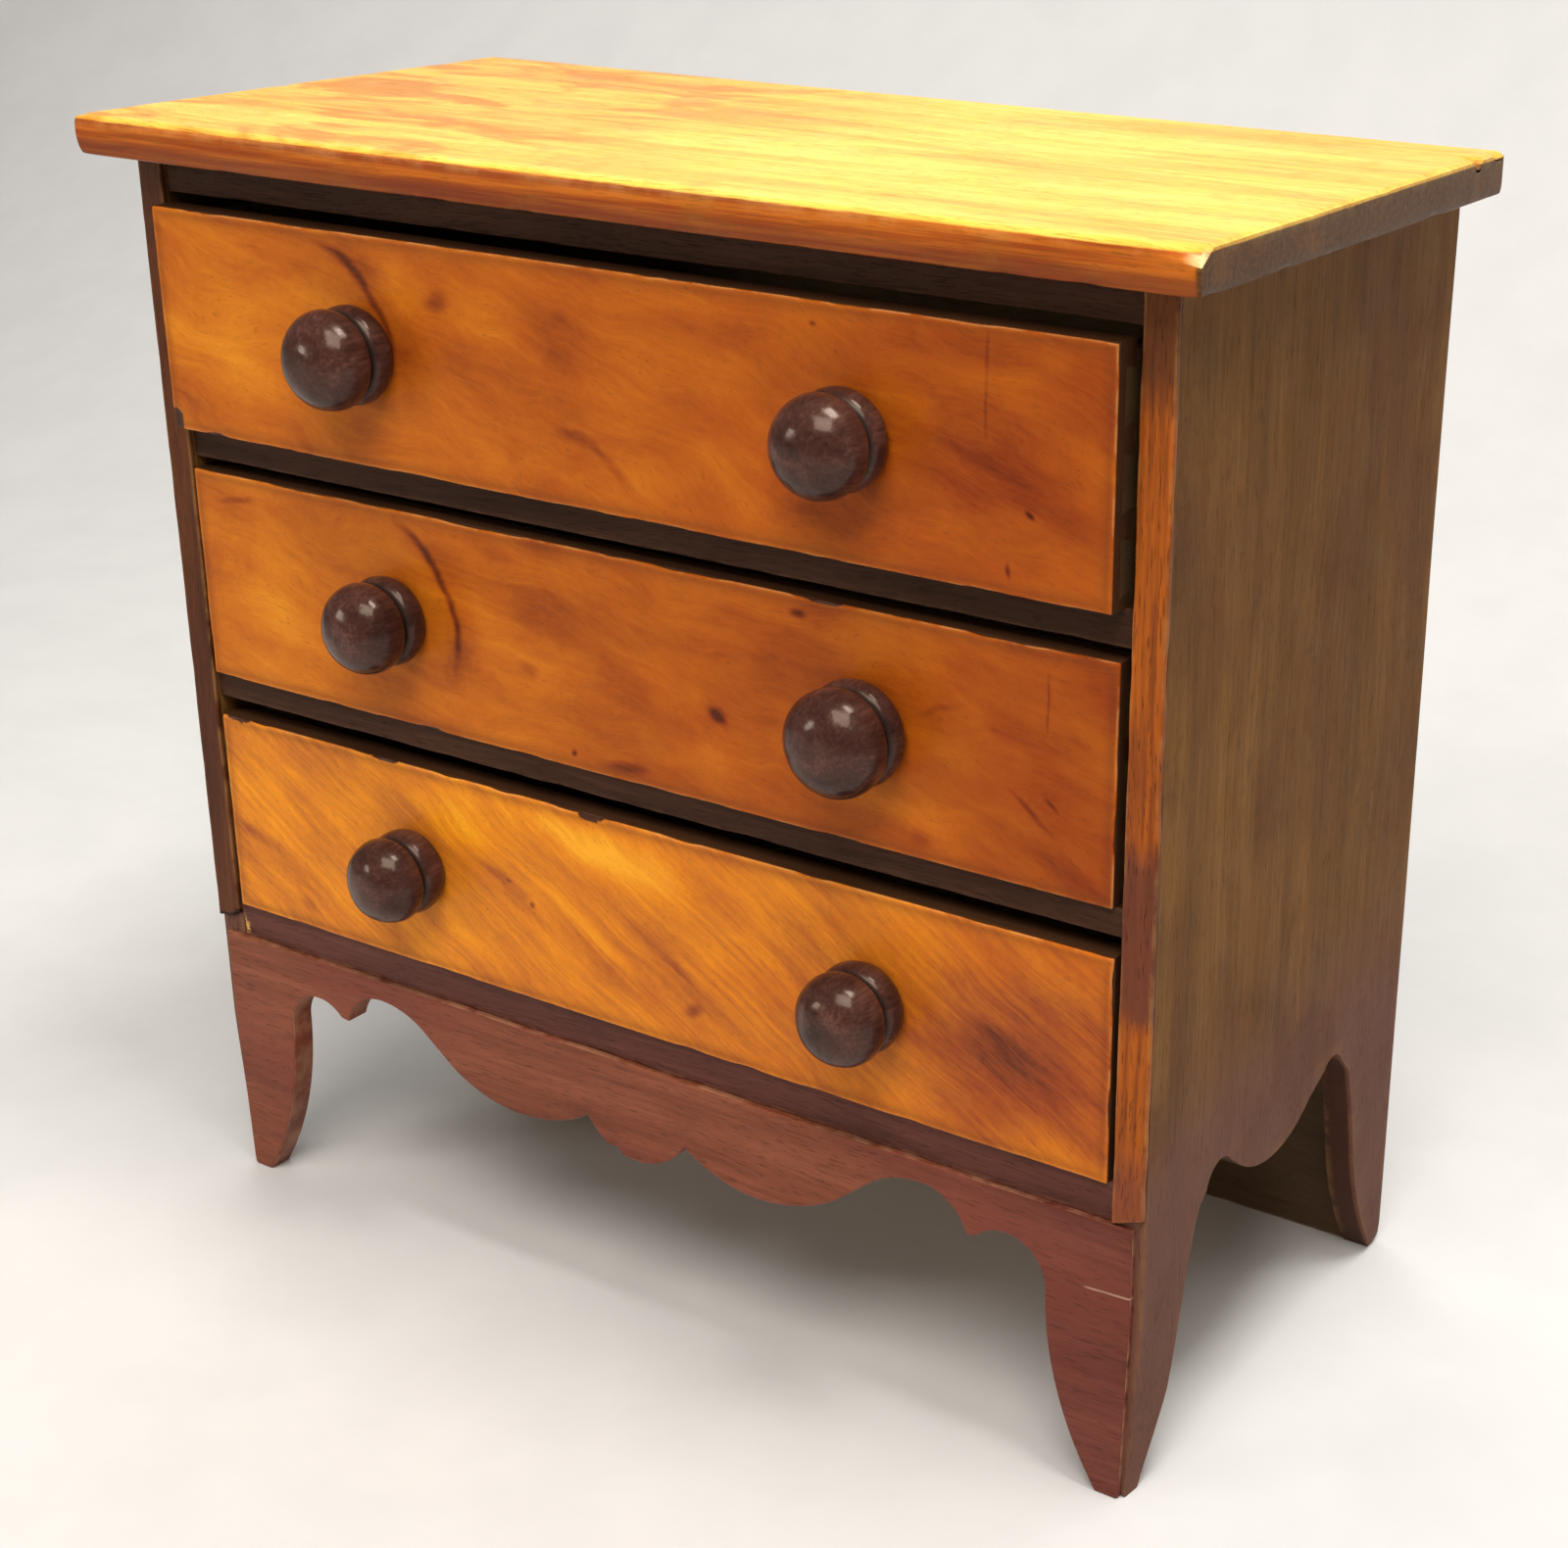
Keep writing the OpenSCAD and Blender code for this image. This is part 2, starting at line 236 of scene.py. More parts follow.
def arc(cx, cy, r, a0, a1, n):
    """Points on a circle round (cx, cy), angles in degrees."""
    return [(cx + r * math.cos(math.radians(a0 + (a1 - a0) * i / n)),
             cy + r * math.sin(math.radians(a0 + (a1 - a0) * i / n))) for i in range(n + 1)]


def resample(points, step):
    """The same outline with points at most step apart, its corners kept."""
    out = []
    for p, q in zip(points, points[1:] + points[:1]):
        n = max(1, int(math.ceil(math.dist(p, q) / step)))
        out += [(p[0] + (q[0] - p[0]) * i / n, p[1] + (q[1] - p[1]) * i / n) for i in range(n)]
    return out


def prism(outline, along, t0, t1, rims, levels):
    """A sawn slab as points, faces and a mark on its sawn edge; rims says which ends are eased."""
    bm = bmesh.new()
    place = (lambda u, v, t: (t, u, v)) if along == X else (lambda u, v, t: (u, t, v))
    face = bm.faces.new([bm.verts.new(place(u, v, t0)) for u, v in outline])
    grown = bmesh.ops.extrude_face_region(bm, geom=[face])
    step = [0, 0, 0]
    step[along] = t1 - t0
    bmesh.ops.translate(bm, verts=[v for v in grown["geom"] if isinstance(v, bmesh.types.BMVert)], vec=step)
    bmesh.ops.recalc_face_normals(bm, faces=bm.faces)
    bm.edges.ensure_lookup_table()
    for t, eased in zip((t0, t1), rims):
        rim = [e for e in bm.edges if all(abs(v.co[along] - t) < 1e-6 for v in e.verts)]
        if eased:
            bmesh.ops.bevel(bm, geom=rim, offset=EASE, segments=3, profile=0.5, affect="EDGES", clamp_overlap=True)
        else:
            ends = [f for f in bm.faces if all(abs(v.co[along] - t) < 1e-6 for v in f.verts)]
            bmesh.ops.delete(bm, geom=ends, context="FACES_ONLY")
    for axis, value in levels:
        way = Vector(np.eye(3)[axis])
        geom = [*bm.verts, *bm.edges, *bm.faces]
        bmesh.ops.bisect_plane(bm, geom=geom, dist=1e-5, plane_co=way * value, plane_no=way)
    bmesh.ops.triangulate(bm, faces=[f for f in bm.faces if len(f.verts) > 4])
    bm.verts.ensure_lookup_table()
    bm.verts.index_update()
    points = np.array([v.co[:] for v in bm.verts])
    cut = np.array([any(abs(f.normal[along]) < 0.35 for f in v.link_faces) for v in bm.verts], float)
    depth = np.full(len(points), 99.0)
    for t, eased in zip((t0, t1), rims):
        if eased:
            depth = np.minimum(depth, np.abs(points[:, along] - t))
    faces = [[v.index for v in f.verts] for f in bm.faces]
    bm.free()
    return points, faces, cut * np.exp(-depth / 1.2)


def sawn(name, slabs, along, material, levels, shape):
    """A case board sawn to shape from slabs (outline, t0, t1, eased ends) that lie across one axis."""
    points, faces, edge = [], [], []
    for outline, t0, t1, rims in slabs:
        p, f, e = prism(outline, along, t0, t1, rims, levels)
        base = sum(len(q) for q in points)
        points.append(p)
        faces += [[base + k for k in quad] for quad in f]
        edge.append(e)
    points, edge = shape(np.concatenate(points)), np.concatenate(edge)
    obj = finish_mesh(name, "_worn", points, faces, "carcass", material, {"edge": edge}, 32)
    obj.modifiers.new("face_weight", "WEIGHTED_NORMAL").keep_sharp = True


# ---- materials

class Shader:
    """Short names for the nodes of one material. Lengths are in millimetres of the row frame."""

    def __init__(self, name):
        self.mat = bpy.data.materials.new(name)
        self.mat.use_nodes = True
        self.nt = self.mat.node_tree
        self.bsdf = self.nt.nodes["Principled BSDF"]
        self.mm = self.vec("SCALE", self.node("ShaderNodeTexCoord").outputs["Object"], scale=1 / MM)

    def feed(self, node, values):
        """Links the values that are sockets to the node's inputs and sets the others."""
        for key, value in values.items():
            if isinstance(value, bpy.types.NodeSocket):
                self.nt.links.new(value, node.inputs[key])
            elif value is not None:
                node.inputs[key].default_value = value
        return node

    def node(self, kind, ins=None, **props):
        n = self.nt.nodes.new(kind)
        for key, value in props.items():
            setattr(n, key, value)
        return self.feed(n, ins or {})

    def vec(self, op, a, b=None, scale=None):
        n = self.node("ShaderNodeVectorMath", {0: a, 1: b, "Scale": scale}, operation=op)
        return n.outputs["Value" if op == "LENGTH" else "Vector"]

    def math(self, op, a, b=0.0, clamp=False):
        return self.node("ShaderNodeMath", {0: a, 1: b}, operation=op, use_clamp=clamp).outputs[0]

    def mul(self, a, b):
        return self.math("MULTIPLY", a, b)

    def add(self, a, b, clamp=False):
        return self.math("ADD", a, b, clamp)

    def sub(self, a, b):
        return self.math("SUBTRACT", a, b)

    def abs(self, a):
        return self.math("ABSOLUTE", a)

    def swing(self, noise, gain, middle, clamp=False):
        """The middle value plus noise that swings half of gain either way."""
        return self.add(self.mul(self.sub(noise, 0.5), gain), middle, clamp)

    def noise(self, vector, detail=2.0, rough=0.5, distortion=0.0):
        return self.node("ShaderNodeTexNoise", {
            "Vector": vector, "Scale": 1.0, "Detail": detail, "Roughness": rough, "Distortion": distortion})

    def grain(self, sizes, detail=3.0, rough=0.6, distortion=0.0, start=None, offset=(0, 0, 0)):
        """Noise whose features are about sizes millimetres along X, Y and Z, or that size all ways."""
        v = self.vec("MULTIPLY", start or self.mm, tuple(1 / s for s in np.broadcast_to(sizes, 3)))
        v = self.vec("ADD", v, offset)
        return self.noise(v, detail, rough, distortion).outputs[0]

    def shifted(self, offset):
        """The grain function for one offset, so that no two pieces look alike."""
        return functools.partial(self.grain, offset=offset)

    def span(self, value, lo, hi, to_lo=0.0, to_hi=1.0):
        """A smooth step: to_lo where the value is lo, to_hi where it is hi."""
        ins = {"Value": value, "From Min": lo, "From Max": hi, "To Min": to_lo, "To Max": to_hi}
        return self.node("ShaderNodeMapRange", ins, interpolation_type="SMOOTHSTEP").outputs[0]

    def mix(self, fac, a, b, mode="MIX"):
        a, b = (c if isinstance(c, bpy.types.NodeSocket) else (*c, 1) for c in (a, b))
        return self.node("ShaderNodeMix", {0: fac, 6: a, 7: b}, data_type="RGBA", blend_type=mode).outputs[2]

    def ramp(self, fac, stops):
        n = self.node("ShaderNodeValToRGB", {"Fac": fac})
        while len(n.color_ramp.elements) < len(stops):
            n.color_ramp.elements.new(0.5)
        for e, (pos, colour) in zip(n.color_ramp.elements, stops):
            e.position = pos
            e.color = tuple(colour) + (1,)
        return n.outputs[0]

    def attr(self, name):
        return self.node("ShaderNodeAttribute", attribute_name=name).outputs["Fac"]

    def lean(self, v, degrees):
        ins = {"Vector": v, "Angle": math.radians(degrees)}
        return self.node("ShaderNodeVectorRotate", ins, rotation_type="Y_AXIS").outputs[0]

    def spot(self, x, y, z, sx, sy, sz, turn=0.0, start=None, hard=0.0):
        """A soft blob of that half size round a point: 1 in the middle, 0 outside."""
        v = self.vec("SUBTRACT", start or self.mm, (x, y, z))
        if turn:
            v = self.lean(v, turn)
        v = self.vec("DIVIDE", v, (sx, sy, sz))
        return self.span(self.vec("LENGTH", v), 1.0, hard)

    def bump(self, height, mm, normal=None):
        ins = {"Height": height, "Distance": mm * MM, "Strength": 1.0, "Normal": normal}
        return self.node("ShaderNodeBump", ins).outputs[0]

    def end(self, colour, rough, normal, coat, coat_rough, spec, shine=(1, 1, 1)):
        """Fills in the Principled node; shine tints the highlights."""
        self.feed(self.bsdf, {
            "Base Color": colour, "Roughness": rough, "Normal": normal, "Coat Weight": coat,
            "Coat Normal": normal if coat else None, "Coat Roughness": coat_rough,
            "Specular IOR Level": spec, "Specular Tint": (*shine, 1)})
        return self.mat


def sized(axis, long, across):
    """Feature sizes with the long one on that axis."""
    return tuple(long if i == axis else across for i in range(3))


def wood(name, axis, dark, mid, light, worn, figure, streak, gloss, seed, coat=0.0, coat_rough=0.25, contrast=1.0,
         rub=0.5, pores=0.5, tint=None, bump=0.1, spec=0.4):
    """Plain straight-grained wood: broad bands, fine streaks, pores, worn pale arrises and soiled patches."""
    s = Shader(name)
    grain = s.shifted((seed, seed * 1.7, seed * 0.6))
    bend = grain(sized(axis, 160, 60), 1.0, 0.5)
    sway = {i: s.mul(s.sub(bend, 0.5), 22) for i in range(3) if i != axis}
    warp = s.node("ShaderNodeCombineXYZ", sway).outputs[0]
    p = s.vec("ADD", s.mm, warp)
    broad = grain(sized(axis, *figure), 3.0, 0.55, 0.4, start=p)
    fine = grain(sized(axis, *streak), 4.0, start=p)
    hair = grain(sized(axis, 22, 0.42), 2.0, start=p)
    pore = s.span(grain(sized(axis, 5.5, 0.34), 1.0, 0.5, start=p), 0.4, 0.3)
    tone = s.add(s.mul(broad, 0.6), s.mul(fine, 0.4))
    tone = s.swing(s.swing(hair, 0.22, tone), 2.1 * contrast, 0.5, clamp=True)
    colour = s.ramp(tone, [(0.08, dark), (0.5, mid), (0.92, light)])
    if tint:
        colour = tint(s, colour)
    colour = s.mix(s.mul(pore, pores), colour, tuple(c * 0.35 for c in dark))
    patchy = s.span(grain(7), 0.36, 0.66)
    rubbed = s.mul(s.span(s.attr("edge"), 0.35, 0.95), s.mul(patchy, rub))
    colour = s.mix(rubbed, colour, worn)
    colour = s.mix(s.span(s.attr("chip"), 0.15, 0.6), colour, tuple(c * 0.4 for c in dark))
    grime = s.span(grain(26, 4.0, 0.65), 0.52, 0.78, 0, 0.35)
    colour = s.mix(grime, colour, tuple(c * 0.6 for c in dark))
    rough = s.add(s.mul(grain(14), 0.26), gloss - 0.13)
    rough = s.add(rough, s.mul(rubbed, 0.12))
    height = s.sub(s.mul(fine, 0.5), s.mul(pore, 0.5))
    normal = s.bump(height, bump)
    normal = s.bump(grain(5), bump * 0.8, normal)
    return s.end(colour, rough, normal, coat, coat_rough, spec, (1.0, 0.8, 0.58))


def veneer(name, z0, face_y, recipe, seed, tones, lean, stripe, wave, right_tone_and_shade):
    """Flame-figured veneer: soft clouds, faint slanting fibres and the marks that the recipe adds."""
    s = Shader(name)
    local = s.vec("SUBTRACT", s.mm, (0, face_y, z0))
    off = (seed * 3.1, seed, seed * 2.3)
    grain = s.shifted(off)

    def stir(sizes):
        v = s.vec("ADD", s.vec("DIVIDE", local, sizes), off)
        return s.vec("SUBTRACT", s.noise(v, 2.0, 0.5).outputs["Color"], (0.5, 0.5, 0.5))

    def moved(v, way, mm):
        return s.vec("ADD", v, s.vec("SCALE", way, scale=mm))

    w1, w2 = stir((52, 52, 34)), stir((15, 15, 10))
    soft, crisp = moved(local, w2, 6), moved(local, w2, 2.5)
    p = s.lean(moved(moved(local, w1, 26 * wave), w2, 3 * wave), lean)
    cloud = grain((38, 30, 17), rough=0.5, start=p)
    flame = grain((26, 30, 5.5), rough=0.5, start=p)
    streak = grain((30, 30, 1.4), start=p)
    fleck = grain((4.5, 3.2, 0.42), 2.0, start=p)
    mottle = grain((2.4, 2.4, 1.8), 2.0, start=p)
    tone = s.add(s.mul(cloud, 0.72 - stripe), s.mul(flame, 0.28))
    tone = s.add(tone, s.mul(streak, stripe))
    tone = s.swing(mottle, 0.16, s.swing(fleck, 0.22, s.swing(tone, 1.55, 0.53)))
    for x, z, sx, sz, turn, strength in recipe["cloud"]:
        tone = s.add(tone, s.mul(s.spot(x, 0, z, sx, 40, sz, turn, soft), strength))
    for x, z, sx, sz, turn, strength in recipe["spot"]:
        tone = s.add(tone, s.mul(s.spot(x, 0, z, sx * 1.15, 40, sz * 1.15, turn, crisp, 0.1), strength))
    for cx, cz, radius, width, x, z, sx, sz, strength in recipe["line"]:
        start = moved(local, w2, 0.8 if width < 1 else 4.5)
        away = s.vec("LENGTH", s.vec("SUBTRACT", s.vec("MULTIPLY", start, (1, 0, 1)), (cx, 0, cz)))
        mask = s.mul(s.span(s.abs(s.sub(away, radius)), width, 0.0), s.spot(x, 0, z, sx, 40, sz, 0, local, 0.45))
        tone = s.add(tone, s.mul(mask, strength))
    tone = s.add(tone, 0.0, clamp=True)
    colour = s.ramp(tone, tones)
    across = s.node("ShaderNodeSeparateXYZ", {0: soft}).outputs[0]
    # darker and redder towards the right: partly the veneer's own tone and partly painted shade where the light
    # falls off across the drawers
    colour = s.mix(s.span(across, -110, 20, 0, right_tone_and_shade), colour, (0.8, 0.69, 0.76), "MULTIPLY")
    colour = s.mix(s.span(across, 66, 120, 0, 0.7), colour, (0.8, 0.68, 0.9), "MULTIPLY")
    side = s.span(across, -60, 110, 0.12, 0.62)
    red = s.span(s.grain((30, 30, 20), 2.0, 0.5, start=soft, offset=(seed + 9, 0, 4)), 0.36, 0.66, 0, 1)
    colour = s.mix(s.mul(red, side), colour, (0.86, 0.66, 0.8), "MULTIPLY")
    pore = s.span(grain((1.6, 3, 0.34), 1.0, 0.5, start=p), 0.36, 0.28)
    colour = s.mix(s.mul(pore, 0.3), colour, (0.1, 0.025, 0.006))
    grime = s.mul(s.span(s.attr("edge"), 0.02, 0.3), s.span(s.attr("edge"), 0.75, 0.35))
    colour = s.mix(s.mul(grime, 0.35), colour, (0.12, 0.03, 0.008))
    patchy = s.span(grain(9), 0.4, 0.62)
    rubbed = s.mul(s.span(s.attr("edge"), 0.6, 0.98), s.mul(patchy, 0.42))
    colour = s.mix(rubbed, colour, (0.8, 0.42, 0.14))
    colour = s.mix(s.span(s.attr("chip"), 0.15, 0.6), colour, (0.055, 0.02, 0.012))
    rough = s.add(s.mul(grain(11), 0.26), 0.27)
    height = s.sub(s.mul(streak, 0.5), s.mul(pore, 0.4))
    normal = s.bump(height, 0.05)
    normal = s.bump(grain((9, 9, 6), 2.0, 0.5), 0.08, normal)
    return s.end(colour, rough, normal, 0.05, 0.2, 0.15, (1.0, 0.74, 0.45))


def knob_polish(name, seed):
    s = Shader(name)
    grain = s.shifted((seed, seed * 2, seed * 3))
    broad = grain((9, 22, 9), 3.0, 0.6, 0.6)
    fine = grain((0.8, 14, 0.8))
    tone = s.add(s.mul(broad, 0.6), s.mul(fine, 0.4))
    tone = s.swing(tone, 2.4, 0.5, clamp=True)
    dark, mid, light = (0.024, 0.009, 0.007), (0.058, 0.023, 0.018), (0.125, 0.052, 0.04)
    colour = s.ramp(tone, [(0.1, dark), (0.55, mid), (0.95, light)])
    scuff = s.span(grain(2.2, 4.0, 0.7), 0.58, 0.8, 0, 0.45)
    colour = s.mix(scuff, colour, (0.17, 0.085, 0.055))
    # darker and rougher in the groove and where the knob meets the drawer front
    groove_darkening = s.mul(s.span(s.attr("groove"), 0.3, 1.0), 0.85)
    colour = s.mix(groove_darkening, colour, (0.01, 0.006, 0.005))
    rough = s.add(s.mul(grain(4, rough=0.65), 0.28), 0.08)
    rough = s.add(rough, s.mul(groove_darkening, 0.4))
    normal = s.bump(grain(1.1), 0.03)
    normal = s.bump(grain(6, 2.0, 0.5), 0.16, normal)
    return s.end(colour, rough, normal, 0.14, 0.08, 0.22, (1.0, 0.8, 0.68))


def bare_iron(name):
    s = Shader(name)
    rust = s.span(s.grain(1.2, 4.0, 0.65), 0.42, 0.62)
    colour = s.mix(rust, (0.1, 0.09, 0.085), (0.2, 0.075, 0.03))
    rough = s.span(rust, 0, 1, 0.42, 0.85)
    s.bsdf.inputs["Metallic"].default_value = 0.6
    return s.end(colour, rough, s.bump(s.grain(0.5, rough=0.5), 0.05), 0.0, 0.1, 0.5)


def coords(s):
    return s.node("ShaderNodeSeparateXYZ", {0: s.mm}).outputs


def top_tint(s, colour):
    """The edges of the top are darker and redder than its face, whose pale yellow is partly the wood's own and
    partly a painted highlight for glare; the front edge is painted darker low down, as painted shade where it
    turns under; the right end is browner still.
    """
    x, _, z = coords(s)
    cloud = s.grain((46, 20, 40), 3.0, 0.55, 1.2, offset=(4, 1, 0))
    left = s.span(x, 10, -60)
    swirl = s.mul(s.span(cloud, 0.46, 0.62), s.mul(left, 0.8))
    colour = s.mix(swirl, colour, (0.56, 0.19, 0.016))
    hi = mm_box("top_board")[1]
    ragged = s.swing(s.grain((7, 7, 3), rough=0.5), 0.5, z)
    low = s.span(ragged, hi[2] - 1.0, hi[2] - 1.5)
    streaks = s.grain((60, 60, 1.6))
    front = s.mix(s.span(streaks, 0.35, 0.68), (0.3, 0.055, 0.008), (0.55, 0.145, 0.014))
    end = s.mix(s.span(s.grain((2, 1.6, 1.2)), 0.3, 0.7), (0.07, 0.028, 0.009), (0.125, 0.052, 0.016))
    # painted shade: the front edge darkens low down, where it turns under
    front = s.mix(s.span(ragged, hi[2] - 4.6, hi[2] - 7.6, 0, 0.6), front, (0.14, 0.026, 0.014))
    edge = s.mix(s.span(x, hi[0] - 2.4, hi[0] - 1.2), front, end)
    colour = s.mix(low, colour, edge)
    return s.mix(s.mul(s.attr("flake"), 0.85), colour, (1.0, 0.72, 0.34))


def rail_tint(s, colour):
    """A patch of bare yellow wood at the left end of the bottom rail, where the stile has broken."""
    spot = s.spot(-132.6, mid_y(), 73.2, 2.2, 12, 3.4, 0, None, 0.3)
    return s.mix(s.mul(spot, s.span(s.grain((1.5, 2, 2), 2.0, 0.5), 0.35, 0.5)), colour, (0.7, 0.4, 0.09))


def shade_at_side_fronts(s, colour):
    """Painted shade: the front ends of the drawer sides are darkened nearly to black, standing in for the shadow
    in the gap beside each drawer front.
    """
    _, y, _ = coords(s)
    ragged = s.add(y, s.mul(s.grain((5, 9, 5)), 10))
    return s.mix(s.span(ragged, mid_y() + 22, mid_y() + 15, 0, 0.9), colour, (0.036, 0.016, 0.008))


def shade_on_front_ends(s, colour):
    """Painted shade: the end grain and the upper edge of the drawer fronts, seen only in the gaps round the
    drawers, are painted nearly black for the shadow there.
    """
    x, _, z = coords(s)
    half = mm_box("drawer_middle_front")[1][0]
    dark = s.span(s.abs(x), half - 2.5, half - 0.5)
    for row in ROWS:
        edge = mm_box(f"drawer_{row}_front")[1][2]
        dark = s.math("MAXIMUM", dark, s.span(s.abs(s.sub(z, edge)), 1.6, 0.6))
    return s.mix(s.mul(dark, 0.88), colour, (0.03, 0.012, 0.006))


def apron_tint(s, colour):
    """Streaks of redder colour, a darker right foot, a scratch across it and a nick."""
    x, _, z = coords(s)
    colour = s.mix(s.span(x, 50, 124, 0, 0.9), colour, (0.64, 0.56, 0.8), "MULTIPLY")
    colour = s.mix(s.span(s.grain((70, 30, 26), 2.0, 0.5), 0.45, 0.7, 0, 0.5), colour, (0.2, 0.045, 0.032))
    line = s.sub(z, s.add(s.mul(s.sub(x, 132), 0.05), 53.2))
    mark = s.span(s.abs(line), 0.42, 0.05)
    reach = s.mul(s.span(x, 126, 128.5), s.span(s.grain(1.6, 2.0, 0.5), 0.28, 0.46))
    reach = s.math("MAXIMUM", reach, s.span(x, 135, 136.5))
    mark = s.mul(mark, s.mul(reach, s.span(x, 125.5, 127)))
    return s.mix(s.mul(mark, 0.9), colour, (0.44, 0.26, 0.2))


def stile_tint(s, colour):
    """The right stile is bright orange with a painted shadow across a stretch of it and darker towards its foot;
    the left one stays dark red-brown. Painted shade darkens both at the top, under the top's overhang.
    """
    x, _, z = coords(s)
    streaks = s.grain((1.4, 20, 34))
    bright = s.mix(s.span(streaks, 0.35, 0.7), (0.4, 0.095, 0.008), (0.2, 0.044, 0.008))
    ragged = s.add(z, s.mul(s.grain((3, 3, 6)), 8))
    # painted shadow: a dark stretch across the right stile
    dark = s.mul(s.span(ragged, 121, 128), s.span(ragged, 168, 158))
    low = s.span(ragged, 98, 84)
    bright = s.mix(s.mul(dark, 0.85), bright, (0.115, 0.033, 0.022))
    bright = s.mix(s.mul(low, 0.75), bright, (0.19, 0.05, 0.026))
    colour = s.mix(s.span(x, -10, 10), colour, bright)
    # painted shade: both stiles darken at the top, under the top's overhang
    return s.mix(s.span(ragged, 252, 262, 0, 0.8), colour, (0.075, 0.026, 0.012))


def shaded_face(s, colour):
    """Painted shade: the inner face of the back is darkened more than the outer one, standing in for the shadow
    inside the case.
    """
    _, y, _ = coords(s)
    rear = mm_box("back_panel")[1][1]
    return s.mix(s.span(y, rear - 0.7, rear - 1.5, 0, 0.8), colour, (0.045, 0.024, 0.013))


def base_tint(s, colour):
    """Painted reflection reddens and cools the sides towards the floor, as if they reflected a bluish floor;
    painted shade darkens them behind, on the inner faces and sawn edges low down.
    """
    x, y, z = coords(s)
    # painted reflection: redder and cooler towards the floor, as if the lower sides reflected a bluish floor
    edge = s.add(z, s.mul(s.grain((60, 60, 25)), 30))
    colour = s.mix(s.span(edge, 135, 80, 0, 0.8), colour, (0.15, 0.064, 0.056))
    # painted shade on the inner faces and sawn edges of the cut-outs and feet, behind the front
    outer = mm_box("side_right")[1][0]
    inside = s.mul(s.span(s.abs(x), outer - 0.7, outer - 1.5), s.span(z, 70, 67))
    inside = s.mul(inside, s.span(y, mid_y() + 8, mid_y() + 14))
    colour = s.mix(s.mul(inside, 0.75), colour, (0.03, 0.013, 0.009))
    return s.mix(s.span(s.grain((40, 34, 60), rough=0.55), 0.5, 0.72, 0, 0.5), colour, (0.105, 0.036, 0.016))


# Each wood: its name, grain axis, dark, middle, light and worn colours, figure and streak sizes in mm
# the top's pale yellow face colours are partly the wood's own and partly a painted highlight standing in for glare
# on the top
TOP = wood(
    "top_wood", X, (0.6, 0.24, 0.026), (0.88, 0.5, 0.072), (1.0, 0.71, 0.15), (0.95, 0.6, 0.19),
    (150, 17), (80, 2.0), gloss=0.36, seed=3.3, coat=0.04, coat_rough=0.2, rub=0.12, spec=0.12, tint=top_tint)
SIDE = wood(
    "side_wood", Z, (0.1, 0.044, 0.01), (0.185, 0.08, 0.018), (0.27, 0.122, 0.03), (0.24, 0.12, 0.05),
    (150, 15), (70, 1.5), gloss=0.58, seed=7.1, contrast=0.95, spec=0.1, tint=base_tint)
STILE = wood(
    "stile_wood", Z, (0.045, 0.011, 0.004), (0.085, 0.022, 0.007), (0.14, 0.04, 0.012), (0.6, 0.3, 0.1),
    (90, 8), (40, 1.2), gloss=0.45, seed=1.9, coat=0.05, rub=0.3, spec=0.15, tint=stile_tint)
RAIL = wood(
    "rail_wood", X, (0.022, 0.009, 0.005), (0.042, 0.017, 0.01), (0.07, 0.028, 0.016), (0.13, 0.06, 0.035),
    (90, 7), (50, 1.3), gloss=0.52, seed=5.2, rub=0.45, spec=0.12)
LOW_RAIL = wood(
    "low_rail_wood", X, (0.052, 0.015, 0.012), (0.092, 0.028, 0.022), (0.135, 0.044, 0.034), (0.34, 0.16, 0.09),
    (90, 7), (50, 1.3), gloss=0.48, seed=8.2, coat=0.05, rub=0.6, spec=0.16, tint=rail_tint)
APRON = wood(
    "apron_wood", X, (0.12, 0.03, 0.016), (0.215, 0.06, 0.032), (0.31, 0.098, 0.052), (0.52, 0.28, 0.17),
    (120, 11), (60, 1.6), gloss=0.45, seed=2.6, coat=0.06, contrast=0.9, rub=0.75, spec=0.16, tint=apron_tint)
PALE = (0.34, 0.2, 0.09), (0.5, 0.33, 0.16), (0.62, 0.44, 0.24), (0.62, 0.46, 0.28)
INNER = wood(
    "inner_wood", Y, *PALE, (80, 10), (50, 1.8), gloss=0.66, seed=4.4, rub=0.4, pores=0.25)
CROSS = wood(
    "drawer_wood", X, (0.36, 0.22, 0.1), (0.53, 0.36, 0.18), (0.66, 0.48, 0.27), (0.66, 0.5, 0.32),
    (90, 9), (60, 1.8), gloss=0.64, seed=6.4, rub=0.4, pores=0.25)
BACK = wood(
    "back_wood", X, (0.14, 0.08, 0.042), (0.25, 0.15, 0.082), (0.35, 0.225, 0.13), (0.38, 0.26, 0.16),
    (140, 14), (90, 2.2), gloss=0.72, seed=9.5, pores=0.3, bump=0.18, tint=shaded_face)
# the drawer sides' wood, with painted shade at their front ends
LINING = wood(
    "drawer_side_wood", Y, *PALE, (120, 9), (50, 1.2), gloss=0.62, seed=4.8, rub=0.2, spec=0.15, tint=shade_at_side_fronts)
# the drawer fronts' core, with painted shade on its ends and upper edges
CORE = wood(
    "front_wood", X, (0.16, 0.06, 0.02), (0.28, 0.11, 0.04), (0.38, 0.17, 0.065), (0.5, 0.27, 0.13),
    (90, 8), (50, 1.5), gloss=0.55, seed=3.9, coat=0.05, tint=shade_on_front_ends)
IRON = bare_iron("brad_iron")

TONES = [(0.0, (0.11, 0.022, 0.006)), (0.22, (0.3, 0.06, 0.007)), (0.45, (0.48, 0.118, 0.008)),
         (0.7, (0.62, 0.185, 0.009)), (1.0, (0.8, 0.3, 0.016))]
TONES_LOW = [(0.0, (0.15, 0.036, 0.016)), (0.22, (0.38, 0.092, 0.02)), (0.45, (0.6, 0.18, 0.018)),
             (0.7, (0.84, 0.285, 0.012)), (1.0, (1.0, 0.46, 0.024))]

